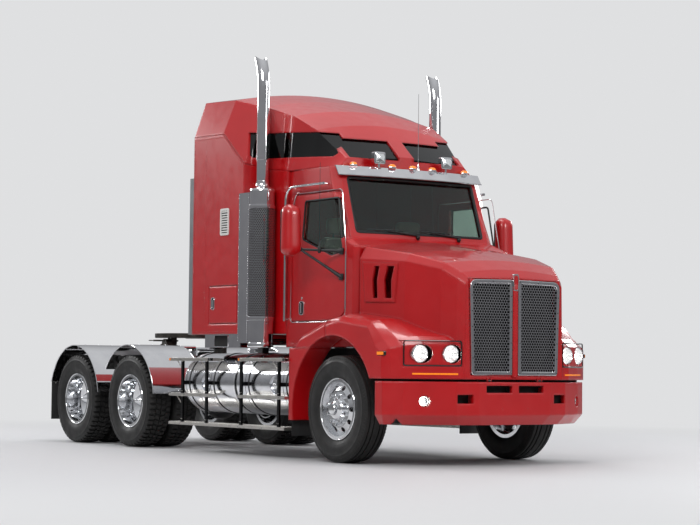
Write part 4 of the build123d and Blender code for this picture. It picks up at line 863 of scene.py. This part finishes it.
def build_door_trim():
    """Window seal, frame bead, handle and hinge of each door."""
    window = ((1.44, 2.575), (2.04, 2.575), (2.145, 2.04), (1.95, 2.01), (1.42, 2.19))
    piping = ((1.221, 1.358), (2.19, 1.358), (2.211, 1.47), (2.213, 2.062), (2.101, 2.656), (1.262, 2.656),
              (1.221, 2.505))
    hinge_low, hinge_pitch, hinge_length = 1.477, 0.02, 0.0185
    for side, sign in sides:
        door = f"door_{side}"
        seal = Pile()
        path = [(x, sign * (cab_side(z) - 0.006), z) for x, z in window]
        seal.tube(soft_path(path, 0.03, 4), 0.0095, around=8, closed=True)
        make(seal, f"door_window_seal_{side}", [seal_rubber], door)

        bead = Pile()
        path = [(x, sign * (cab_side(z) + 0.002), z) for x, z in piping]
        bead.tube(soft_path(path, 0.05, 4), 0.005, around=8, closed=True)
        make(bead, f"door_frame_bead_{side}", [bright_steel])

        handle = Pile()
        y = sign * cab_y
        outline = rounded(1.385, 1.475, 1.43, 1.57, 0.03)
        inner = rounded(1.395, 1.465, 1.44, 1.56, 0.024)
        handle.ring_plate(outline, inner, y, y + sign * 0.01, axis=1, lip=0.003)
        # The dark plate in the recess behind the paddle is painted shade.
        handle.plate(inner, y + sign * 0.0005, y + sign * 0.002, axis=1, mark=1)
        handle.box(1.417, 1.443, y + sign * 0.004, y + sign * 0.02, 1.448, 1.552, soft=0.003)
        handle.turned([(0.012, 0), (0.012, 0.004), (0.009, 0.006)], (1.43, y, 1.6), (0, sign, 0), 20)
        make(handle, f"door_handle_{side}", [chrome, painted_shade], door)

        barrel = Pile()
        for index in range(28):
            foot = (2.206, sign * 0.951, hinge_low + hinge_pitch * index)
            barrel.turned([(0.0078, 0.0), (0.0078, hinge_length)], foot, (0, 0, 1), 12)
        make(barrel, f"door_hinge_{side}", [bright_steel], door)


def build_mirrors():
    """Mirror heads with their glasses and arms, and the aerial on the right door."""
    mirror_middle, back_x = 1.3275, 1.737
    z_low, z_high, levels = 1.992, 2.498, 15
    end_share, squareness = 0.16, 0.62
    plates = (
        # half width, bottom, top, corner, back, front, material
        (0.08, 2.03, 2.455, 0.03, 1.7355, 1.742, 1), (0.072, 2.155, 2.445, 0.024, 1.7351, 1.736, 2),
        (0.072, 2.04, 2.14, 0.02, 1.7351, 1.736, 2),
    )
    for side, sign in sides:
        head = Pile()
        y = sign * mirror_middle
        loops = []
        for index in range(levels + 1):
            t = index / levels
            end = min(min(t, 1 - t) / end_share, 1)
            swell = min(1.0, math.sqrt(max(0.0, 1 - (1 - end) ** 2)) * 0.7 + 0.3)
            half_y = 0.101 * swell * (1 - 0.1 * t)
            half_x = 0.155 * (0.35 + 0.65 * swell) * (1 - 0.12 * t) * 0.5
            ring = []
            for angle in angles(28):
                c, s = (math.copysign(abs(v) ** squareness, v) for v in (math.cos(angle), math.sin(angle)))
                ring.append((back_x + half_x + half_x * c, y + half_y * s * (1 - 0.14 * max(c, 0)),
                             z_low + (z_high - z_low) * t))
            loops.append(ring)
        head.strip(loops, caps=True)
        for half_width, low, high, radius, back, front, mark in plates:
            head.plate(rounded(y - half_width, y + half_width, low, high, radius, 4), back, front, mark=mark)
        joint = Vector((1.84, sign * 1.262, 2.06))
        head.dome(joint, (0, -sign, 0), 0.026, 0.045, mark=1, around=16)
        pad_x, pad_y, pad_half = 2.15, sign * 0.9505, 0.032
        for z in (2.04, 1.79):
            arm = line(joint - Vector((0, sign * 0.02, 0)), (pad_x, pad_y + sign * 0.014, z), 5)
            head.tube(arm, [0.011, 0.012, 0.013, 0.016, 0.021], mark=1, around=12)
            head.box(pad_x - pad_half, pad_x + 0.03, pad_y, pad_y + sign * 0.026, z - pad_half, z + pad_half,
                     mark=1, soft=0.007)
        if side == "right":
            whip = Vector((2.001, sign * 1.124, 2.05))
            head.turned([(0.012, -0.03), (0.018, -0.012), (0.018, 0.02), (0.007, 0.05), (0.005, 0.11)],
                        whip, (0, 0, 1), 14, mark=1)
            ends = [whip + Vector((0, 0, height)) for height in (0.1, 0.86)]
            head.tube(ends, [0.0034, 0.002], mark=1, around=8)
        make(head, f"mirror_head_{side}", [red, black_plastic, mirror_glass], f"door_{side}",
             crease=50, replaced=[f"mirror_{side}"])


# Sleeper, exhausts, tanks and chassis

def build_sleeper_trim():
    """Rivets, vent, locker latch and the box under the floor on each side."""
    rivet_rows = (
        # start and end as (x, z), count
        ((-0.318, 1.275), (-0.318, 3.3), 62), ((-0.27, 1.27), (0.58, 1.27), 26),
        ((-0.3, 3.318), (0.24, 3.305), 17), ((0.287, 3.29), (0.665, 2.985), 15),
        ((-0.08, 1.33), (-0.08, 3.28), 40),
    )
    panel_y, panel_low, panel_height, panel_rivets = 1.206, 1.175, 1.49, 60
    slat_low, slat_pitch, slat_height = 2.306, 0.0255, 0.014
    box_low_x, box_high_x, box_low, box_under, box_top = -0.145, 0.575, 1.105, 1.24, 1.2446
    box_face, box_inner, box_back, sheet = 1.15, 1.146, 0.9, 0.004
    for side, sign in sides:
        rivets = Pile()
        y = sign * sleeper_y
        axis = (0, sign, 0)
        for (x0, z0), (x1, z1), count in rivet_rows:
            for index in range(count):
                t = index / (count - 1)
                rivets.dome((x0 + (x1 - x0) * t, y, z0 + (z1 - z0) * t), axis, 0.0052, 0.0028, around=7)
        for index in range(panel_rivets):
            z = panel_low + panel_height * index / (panel_rivets - 1)
            for x in (0.622, 0.798):
                rivets.dome((x, sign * panel_y, z), axis, 0.0045, 0.0026, mark=1, around=7)
        make(rivets, f"sleeper_rivets_{side}", [red, bright_steel])

        vent = Pile()
        outline = rounded(0.237, 0.407, 2.272, 2.553, 0.018, 4)
        inner = rounded(0.257, 0.387, 2.296, 2.529, 0.01, 4)
        vent.ring_plate(outline, inner, y, y + sign * 0.012, axis=1, lip=0.003)
        for index in range(9):
            z = slat_low + slat_pitch * index
            vent.box(0.255, 0.389, y + sign * 0.0005, y + sign * 0.008, z, z + slat_height, soft=0.002)
        # Dark plate behind the slats: painted shade.
        vent.plate(inner, y + sign * 0.0003, y + sign * 0.0015, axis=1, mark=1)
        make(vent, f"sleeper_vent_{side}", [white_plastic, painted_shade])

        latch = Pile()
        outline = rounded(0.062, 0.132, 1.5, 1.63, 0.02)
        inner = rounded(0.072, 0.122, 1.51, 1.62, 0.014)
        latch.ring_plate(outline, inner, y, y + sign * 0.008, axis=1, lip=0.002)
        # Dark plate in the latch's recess: painted shade.
        latch.plate(inner, y + sign * 0.0004, y + sign * 0.002, axis=1, mark=1)
        latch.box(0.082, 0.112, y + sign * 0.002, y + sign * 0.011, 1.52, 1.6, soft=0.003)
        make(latch, f"locker_latch_{side}", [chrome, painted_shade], f"locker_{side}")

        bracket = Pile()
        bracket.box(box_low_x, box_high_x, sign * box_face, sign * box_inner, box_low, box_top)
        for x0, x1, z0, z1 in ((box_low_x, box_high_x, box_under, box_top),
                               (box_low_x, box_low_x + sheet, box_low, box_under),
                               (box_high_x - sheet, box_high_x, box_low, box_under)):
            bracket.box(x0, x1, sign * box_inner, sign * box_back, z0, z1)
        # The near-black panel framed by the rim is painted shade, as of an opening into the box.
        window = rounded(0.06, 0.33, 1.12, 1.23, 0.012, 3)
        bracket.plate(window, sign * 1.1502, sign * 1.1512, axis=1, mark=1)
        rim = rounded(0.052, 0.338, 1.112, 1.238, 0.016, 3)
        bracket.ring_plate(rim, window, sign * box_face, sign * 1.156, axis=1, lip=0.002)
        make(bracket, f"underfloor_box_{side}", [bright_steel, painted_shade])


def build_exhaust_trim():
    """Pierced shield around each muffler, with its bands and a dark sleeve under the holes as painted shade."""
    shield_radius, cells_around = 0.1345, 42
    length = 2 * math.pi * shield_radius
    pitch = length / cells_around
    bands = [
        # profile of (radius, height), points around, material
        # The first band is a dark sleeve under the pierced shield: painted shade seen through its holes.
        ([(0.1306, 1.419), (0.1312, 1.419), (0.1312, 2.521), (0.1306, 2.521)], 48, 1),
    ]
    for z in (1.4, 2.54):
        bands.append(([(0.1352, z - 0.02), (0.1385, z - 0.018), (0.1395, z), (0.1385, z + 0.018),
                       (0.1352, z + 0.02), (0.134, z)], 48, 0))
    bands += [
        ([(0.1303, 2.694), (0.131, 2.706), (0.125, 2.722), (0.096, 2.744), (0.072, 2.756), (0.0675, 2.772),
          (0.0675, 2.802), (0.064, 2.806), (0.0638, 2.694)], 48, 0),
        ([(0.064, 3.02), (0.069, 3.022), (0.069, 3.058), (0.064, 3.06)], 40, 0),
        ([(0.1303, 1.106), (0.1325, 1.112), (0.1325, 1.15), (0.1303, 1.154)], 48, 0),
    ]
    for side, sign in sides:
        y = sign * exhaust_y

        def place(u, v, depth):
            angle = u / shield_radius
            reach = shield_radius - depth
            return (exhaust_x + reach * math.cos(angle), y + reach * math.sin(angle), v)

        shield = Pile()
        shield.pierced(place, (0.0, length - pitch), (1.428, 2.514), pitch, 0.74, 0.0025)
        make(shield, f"muffler_shield_{side}", [bright_steel], crease=25)
        trim = Pile()
        for profile, around, mark in bands:
            trim.turned(profile, (exhaust_x, y, 0), (0, 0, 1), around, mark, closed=True)
        make(trim, f"exhaust_trim_{side}", [bright_steel, painted_shade])


def build_tank_trim():
    """Strap rubbers, end bands and fillers of the tanks."""
    spans = ((-0.535, 0.505), (0.545, 1.595))
    fillers = (-0.065, 1.295)
    strap_half, seat_radius = 0.036, 0.1015
    end_band = [(0.3152, -0.03), (0.3175, -0.028), (0.3175, -0.008), (0.3152, -0.004), (0.31, 0.0005),
                (0.31, -0.03)]
    cap = [(0.0465, -0.017), (0.05, -0.015), (0.05, 0.004), (0.047, 0.01), (0.03, 0.013),
           (0.004, 0.014)]
    for side, sign in sides:
        y = sign * tank_y
        rubbers = Pile()
        for x in strap_places:
            rubbers.turned([(0.3152, x - strap_half), (0.319, x - strap_half), (0.319, x + strap_half),
                            (0.3152, x + strap_half)], (0, y, tank_z), (1, 0, 0), 64, closed=True)
        make(rubbers, f"tank_strap_rubbers_{side}", [seal_rubber])
        trim = Pile()
        for low, high in spans:
            for x, way in ((low, -1), (high, 1)):
                trim.turned(end_band, (x, y, tank_z), (way, 0, 0), 64, closed=True)
        face = sign * (tank_y + 0.308)
        for x in fillers:
            trim.turned(cap, (x, face, tank_z), (0, sign, 0), 32)
            trim.box(x - 0.03, x + 0.03, face + sign * 0.013, face + sign * 0.0195, tank_z - 0.007,
                     tank_z + 0.007, soft=0.002)
            edge = []
            for angle in angles(48):
                up = seat_radius * math.sin(angle)
                out = tank_y + math.sqrt(tank_radius ** 2 - up ** 2)
                edge.append((x + seat_radius * math.cos(angle), sign * out, tank_z + up))
            trim.tube(edge, 0.0035, around=6, closed=True)
        make(trim, f"tank_trim_{side}", [chrome])


def build_step_trim():
    """Grip studs, plank ribs, end lamps, bolts and braces of the side steps."""
    treads = ((-0.735, 0.135, 0.995), (0.7, 1.595, 0.995), (-0.735, 0.135, 0.62), (0.7, 1.595, 0.62),
              (-0.735, 1.595, 0.315))
    stud_pitch, row_pitch, outer_row = 0.045, 0.042, 1.222
    stud = [(0.015, -0.0005), (0.013, 0.0032), (0.0095, 0.0032), (0.0088, -0.0005)]
    for side, sign in sides:
        grip = Pile()
        face = sign * 1.25
        for x_low, x_high, z in treads:
            count = int((x_high - x_low) / stud_pitch)
            for row in range(5 if z < 0.5 else 2):
                y = sign * (outer_row - row_pitch * row)
                for index in range(count):
                    x = x_low + 0.03 + (x_high - x_low - 0.06) * (index + 0.5 * (row % 2)) / count
                    grip.turned(stud, (x, y, z), (0, 0, 1), 10, closed=True)
                    # A dark disc in each stud's hole: painted shade.
                    grip.turned([(0.0088, 0.0002), (0.001, 0.0003)], (x, y, z), (0, 0, 1), 8, mark=1)
            for rib in range(3):
                level = z - 0.027 + 0.009 * rib
                grip.box(x_low + 0.001, x_high - 0.001, face - sign * 0.004, face - sign * 0.0002, level,
                         level + 0.004)
        for x_low, x_high, z in treads[:2]:
            grip.box(x_low, x_low + 0.035, sign * 1.2502, sign * 1.215, z - 0.029, z + 0.001, mark=2, soft=0.004)
            grip.box(x_high - 0.05, x_high + 0.0005, sign * 1.2503, sign * 1.21, z - 0.0305, z + 0.0012,
                     mark=3, soft=0.003)
        for x in strap_places:
            for z in (0.35, 0.59, 0.645, 0.96):
                for off in (-0.01, 0.01):
                    grip.dome((x + off, face, z), (0, sign, 0), 0.0045, 0.004, around=6)
            for top in (0.965, 0.59):
                grip.tube([(x - 0.16, sign * 1.215, top), (x - 0.02, sign * 1.235, top - 0.085)], 0.005, around=8)
        make(grip, f"step_trim_{side}", [satin_alloy, painted_shade, amber, black_plastic])


def build_guard_trim():
    """Beads of the rear guards, and the flaps' ribs and bolts."""
    trim = Pile()
    guard_radius, bead_radius = 0.6265, 0.0052
    start, ends, steps = 8, (146, 162), 32
    for (_, x), end in zip(drive_axles, ends):
        for sign in (1, -1):
            for y in (1.2365, 0.6035):
                turns = [math.radians(start + (end - start) * step / steps) for step in range(steps + 1)]
                trim.tube([(x + guard_radius * math.cos(a), sign * y, tyre_radius + guard_radius * math.sin(a))
                           for a in turns], bead_radius, around=8)
            for y in (0.75, 0.92, 1.09):
                trim.dome((x, sign * y, tyre_radius + 0.63), (0, 0, 1), 0.008, 0.005)
    make(trim, "guard_beads", [bright_steel])

    flap = Pile()
    flap_inner_y, flap_outer_y, rib_pitch, rib_count = 0.64, 1.2, 0.05, 12
    for sign in (1, -1):
        flap.box(-3.655, -3.6546, sign * flap_inner_y, sign * flap_outer_y, 0.262, 0.3, mark=1)
        for index in range(rib_count):
            y = sign * (flap_inner_y + rib_pitch * index)
            flap.box(-3.6452, -3.6438, y, y + sign * 0.012, 0.32, 0.69)
        for y in (0.66, 0.8, 0.94, 1.08, 1.18):
            flap.dome((-3.645, sign * y, 0.695), (1, 0, 0), 0.009, 0.006, mark=1)
    make(flap, "flap_trim", [flap_rubber, satin_alloy])


def build_chassis_detail():
    """Frame bolts, fixed lines, the deck's tread and the fifth wheel's jaw."""
    bolt_start, bolt_pitch, bolt_count = -3.33, 0.115, 58
    clamp_start, clamp_pitch, clamp_count = -3.2, 0.37, 14
    bolts, lines = Pile(), Pile()
    for sign in (1, -1):
        for index in range(bolt_count):
            x = bolt_start + bolt_pitch * index
            for z in (0.79, 0.955):
                if index % 3 != 2:
                    bolts.dome((x, sign * rail_y, z), (0, sign, 0), 0.012, 0.01, around=6)
        y = sign * (rail_y + 0.012)
        for z, radius, mark in ((0.9, 0.01, 0), (0.876, 0.008, 1), (0.85, 0.008, 0)):
            path = [(-3.3, y, z), (-1.4, y, z - 0.004), (-0.4, y, z + 0.003), (0.9, y, z), (1.9, y, z - 0.003)]
            lines.tube(path, radius, mark=mark, around=8)
        for index in range(clamp_count):
            x = clamp_start + clamp_pitch * index
            lines.box(x, x + 0.018, sign * rail_y, sign * (rail_y + 0.025), 0.838, 0.914, soft=0.002)
    make(bolts, "frame_bolts", [chassis_paint])
    make(lines, "chassis_lines", [seal_rubber, chassis_paint])

    deck = Pile()
    bar_length, bar_width, slant = 0.013, 0.0042, 0.707
    deck_base, deck_top = 1.0129, 1.015
    start_x, pitch_x, start_y, pitch_y, bars = -1.222, 0.0405, -0.41, 0.0425, 20
    for i in range(bars):
        for j in range(bars):
            x = start_x + pitch_x * i
            y = start_y + pitch_y * j
            way = 1 if (i + j) % 2 else -1
            a = (bar_length * slant, bar_length * slant * way)
            b = (-bar_width * slant * way, bar_width * slant)
            ring = [(x + a[0], y + a[1]), (x + b[0], y + b[1]), (x - a[0], y - a[1]), (x - b[0], y - b[1])]
            top = [(x + (p - x) * 0.55, y + (q - y) * 0.55) for p, q in ring]
            deck.strip([raised(ring, 2, deck_base), raised(top, 2, deck_top)], caps=True)
    make(deck, "deck_tread", [tread_alloy], crease=20)

    jaw = Pile()
    top, handle_z = 1.2902, 1.205
    jaw.turned([(0.0262, -0.05), (0.0262, 0.0), (0.033, 0.0012), (0.048, 0.0012), (0.05, -0.001)],
               (kingpin_x, 0, top), (0, 0, 1), 40)
    turns = [math.radians(-105 + 210 * step / 24) for step in range(25)]
    # Dark lines along the grooves of the plate: painted shade in the grooves.
    for radius in (0.15, 0.235, 0.32, 0.405):
        groove = [(kingpin_x + radius * math.cos(a), radius * math.sin(a), top - 0.0005) for a in turns]
        jaw.tube(groove, 0.0022, mark=1, around=6)
    jaw.tube([(-2.42, -0.2, handle_z), (-2.42, -0.47, handle_z), (-2.44, -0.52, handle_z)], 0.01)
    jaw.turned([(0.02, -0.006), (0.028, 0), (0.02, 0.006)], (-2.452, -0.545, handle_z), (0, 0, 1), 24)
    make(jaw, "fifth_wheel_jaw", [greased_steel, painted_shade], "fifth_wheel")


# Cab inside

def cushion(name, low, high, crown, finish):
    """A crowned closed cushion with soft corners in the space between two corners."""
    lows, highs = Vector(low), Vector(high)
    centre = (lows + highs) / 2
    half = (highs - lows) / 2
    rings, around, squareness = 12, 28, 0.32
    loops = []
    for i in range(1, rings):
        polar = math.pi * i / rings - math.pi / 2
        reach = math.cos(polar) ** squareness
        z = math.copysign(abs(math.sin(polar)) ** 0.5, polar)
        loop = []
        for angle in angles(around):
            x, y = (math.copysign(abs(v) ** squareness, v) * reach for v in (math.cos(angle), math.sin(angle)))
            puff = 1 - crown * (x * x + y * y) / 2
            loop.append((centre.x + x * half.x, centre.y + y * half.y, centre.z + z * half.z * puff))
        loops.append(loop)
    pile = Pile()
    pile.strip(loops, caps=True)
    piece = make(pile, name, [finish], crease=80)
    return piece


def build_inside():
    """Dashboard, steering wheel, seats and bunk."""
    dash = Pile()
    profile = ((2.29, 1.785), (2.292, 2.06), (2.24, 2.08), (2.12, 2.078), (2.062, 2.05), (2.045, 1.98),
               (2.075, 1.86), (2.12, 1.785))
    loops = []
    for y in (-0.858, -0.85, -0.62, -0.55, -0.3, -0.23, 0.1, 0.4, 0.85, 0.858):
        hood, drop = (0.012, 0.0) if -0.62 < y < -0.23 else (0.0, 0.006)
        loops.append([(x - (hood if x < 2.13 else 0), y, z - drop) for x, z in profile])
    dash.strip(loops, caps=True)
    dash.box(2.105, 2.285, -0.235, 0.235, 1.175, 1.8, soft=0.02)
    dial_parts = (([(0.04, 0.0), (0.04, 0.01), (0.034, 0.012)], 1), ([(0.033, 0.0125), (0.002, 0.0128)], 2))
    for y in (-0.53, -0.43, -0.33):
        for profile, mark in dial_parts:
            dash.turned(profile, (2.048, y, 1.985), (-1, 0, 0.25), 24, mark)
    hub = Vector((1.872, -0.43, 1.996))
    axis = Vector((-180, 0, 140)).normalized()
    across = Vector((0, 1, 0))
    up = axis.cross(across)
    dash.tube(circle(hub, across, up, 0.225, 40), 0.0145, mark=1, closed=True)
    for angle in (0.15, math.pi - 0.15, 1.5 * math.pi):
        end = hub + (across * math.cos(angle) + up * math.sin(angle)) * 0.222
        dash.tube([hub, end], [0.02, 0.01], mark=1, around=8)
    dash.turned([(0.06, -0.02), (0.06, 0.008), (0.045, 0.016), (0.005, 0.018)], hub, axis, 24, mark=1)
    dash.tube([(2.055, -0.43, 1.854), hub], 0.027, mark=1, around=14)
    make(dash, "dashboard", [dash_plastic, black_plastic, gloss_black],
         replaced=["cab_interior"])
    for label, y in (("driver", -0.43), ("passenger", 0.43)):
        base = Pile()
        base.box(1.405, 1.695, y - 0.165, y + 0.165, 1.172, 1.556, soft=0.02)
        for off in (-0.2, 0.2):
            base.tube([(1.36, y + off, 1.6), (1.3, y + off, 1.75)], 0.02, around=8)
        for off in (-0.07, 0.07):
            base.tube([(1.315, y + off, 2.2), (1.315, y + off, 2.3)], 0.008, around=8)
        make(base, f"{label}_seat_base", [black_plastic])
        for part, x0, x1, half_y, z0, z1, crown in (
            ("seat_cushion", 1.33, 1.8, 0.25, 1.56, 1.69, 0.25),
            ("seat_back", 1.252, 1.385, 0.24, 1.65, 2.245, 0.1),
            ("headrest", 1.268, 1.365, 0.14, 2.262, 2.438, 0.1),
        ):
            cushion(f"{label}_{part}", (x0, y - half_y, z0), (x1, y + half_y, z1), crown, seat_cloth)
    mattress = cushion("bunk_mattress", (-0.293, -1.152, 1.757), (0.498, 1.152, 1.874), 0.1, trim_cloth)
    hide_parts("bunk")
    front = Pile()
    front.box(0.4705, 0.4895, -1.154, 1.154, 1.2905, 1.753, soft=0.004)
    make(front, "bunk_front_board", [trim_cloth])


# Stage, light and camera

def build_stage():
    """A round floor that fades into the backdrop, and a room that only reflections see."""
    floor_radius, floor_sides = 90.0, 64
    fade_start, fade_end = 4.5, 13.0
    unseen_glow = 0.28
    floor_mesh = bpy.data.meshes.new("floor")
    verts = [(floor_radius * math.cos(a), floor_radius * math.sin(a), 0.0) for a in angles(floor_sides)]
    floor_mesh.from_pydata(verts, [], [tuple(range(floor_sides))])
    floor = bpy.data.objects.new("floor", floor_mesh)
    bpy.context.scene.collection.objects.link(floor)
    finish = bpy.data.materials.new("pale_floor")
    finish.use_nodes = True
    tree = finish.node_tree
    shader = tree.nodes["Principled BSDF"]
    shader.inputs["Base Color"].default_value = (0.6, 0.6, 0.61, 1)
    shader.inputs["Roughness"].default_value = 0.55
    seen = add_node(tree, "MapRange", Value=add_node(tree, "LightPath").outputs["Is Camera Ray"],
                    To_Min=unseen_glow)
    glow = add_node(tree, "Emission", Color=(*backdrop, 1), Strength=seen.outputs["Result"])
    length = tree.nodes.new("ShaderNodeVectorMath")
    length.operation = "LENGTH"
    plug(tree, length.inputs[0], add_node(tree, "TexCoord").outputs["Object"])
    fade = add_node(tree, "MapRange", Value=length.outputs["Value"], From_Min=fade_start, From_Max=fade_end)
    fade.interpolation_type = "SMOOTHSTEP"
    mix = add_node(tree, "MixShader", Fac=fade.outputs["Result"])
    plug(tree, mix.inputs[1], shader.outputs["BSDF"])
    plug(tree, mix.inputs[2], glow.outputs["Emission"])
    plug(tree, tree.nodes["Material Output"].inputs["Surface"], mix.outputs["Shader"])
    floor_mesh.materials.append(finish)

    world = bpy.data.worlds.new("studio")
    world.use_nodes = True
    bpy.context.scene.world = world
    tree = world.node_tree
    back = tree.nodes["Background"]
    back.inputs["Color"].default_value = (*backdrop, 1)
    back.inputs["Strength"].default_value = 1.0
    place = add_node(tree, "TexCoord").outputs["Generated"]
    ramp = add_node(tree, "ValToRGB", Fac=add_node(tree, "SeparateXYZ", Vector=place).outputs["Z"])
    set_ramp(ramp, 0.0, (0.16, 0.16, 0.17), 0.75, (0.62, 0.63, 0.65))
    room = add_node(tree, "Background", Color=ramp.outputs["Color"])
    rays = add_node(tree, "LightPath")
    seen = maths(tree, "MAXIMUM", rays.outputs["Is Camera Ray"], rays.outputs["Is Transmission Ray"])
    mix = add_node(tree, "MixShader", Fac=seen)
    plug(tree, mix.inputs[1], room.outputs["Background"])
    plug(tree, mix.inputs[2], back.outputs["Background"])
    plug(tree, tree.nodes["World Output"].inputs["Surface"], mix.outputs["Shader"])


def build_lights():
    for name, place, target, size, power in (
        ("key_light", (9, -10, 8.5), (0.5, 0, 1.6), (6, 2.6), 760),
        ("front_light", (13, 5, 6), (2, 0, 1.5), (3.2, 2.6), 380),
        ("top_light", (0, 0, 10), (0, 0, 0), (8, 2), 300),
        ("back_light", (-10, -4, 6), (-1, 0, 1.2), (5, 2), 420),
        ("left_light", (-2, 11, 6), (0, 0, 1.5), (6, 2), 320),
    ):
        lamp = bpy.data.lights.new(name, "AREA")
        lamp.shape = "RECTANGLE"
        lamp.size, lamp.size_y = size
        lamp.energy = power
        holder = bpy.data.objects.new(name, lamp)
        holder.location = place
        aim = Vector(target) - Vector(place)
        holder.rotation_euler = aim.to_track_quat("-Z", "Y").to_euler()
        bpy.context.scene.collection.objects.link(holder)


def build_camera():
    azimuth = math.radians(camera_azimuth)
    pitch = math.radians(camera_pitch)
    roll = math.radians(camera_roll)
    ahead = Vector((-math.sin(azimuth) * math.cos(pitch), math.cos(azimuth) * math.cos(pitch), math.sin(pitch)))
    right = Vector((math.cos(azimuth), math.sin(azimuth), 0))
    up = right.cross(ahead)
    turned_right = right * math.cos(roll) + up * math.sin(roll)
    turned_up = -right * math.sin(roll) + up * math.cos(roll)
    data = bpy.data.cameras.new("camera")
    data.lens = camera_lens
    data.sensor_width = sensor_width
    data.sensor_fit = "HORIZONTAL"
    data.clip_end = 300
    camera = bpy.data.objects.new("camera", data)
    matrix = Matrix((turned_right, turned_up, -ahead)).transposed().to_4x4()
    matrix.translation = camera_place
    camera.matrix_world = matrix
    bpy.context.scene.collection.objects.link(camera)
    bpy.context.scene.camera = camera


for build in (
    build_stage, build_lights, build_camera, build_tyres, build_wheel_trim, build_grille, build_head_lamps,
    build_bumper_trim, build_screen_trim, build_visor_trim, build_door_trim, build_mirrors, build_sleeper_trim,
    build_exhaust_trim, build_tank_trim, build_step_trim, build_guard_trim, build_chassis_detail, build_inside,
):
    build()
bpy.context.scene.view_settings.view_transform = "Standard"
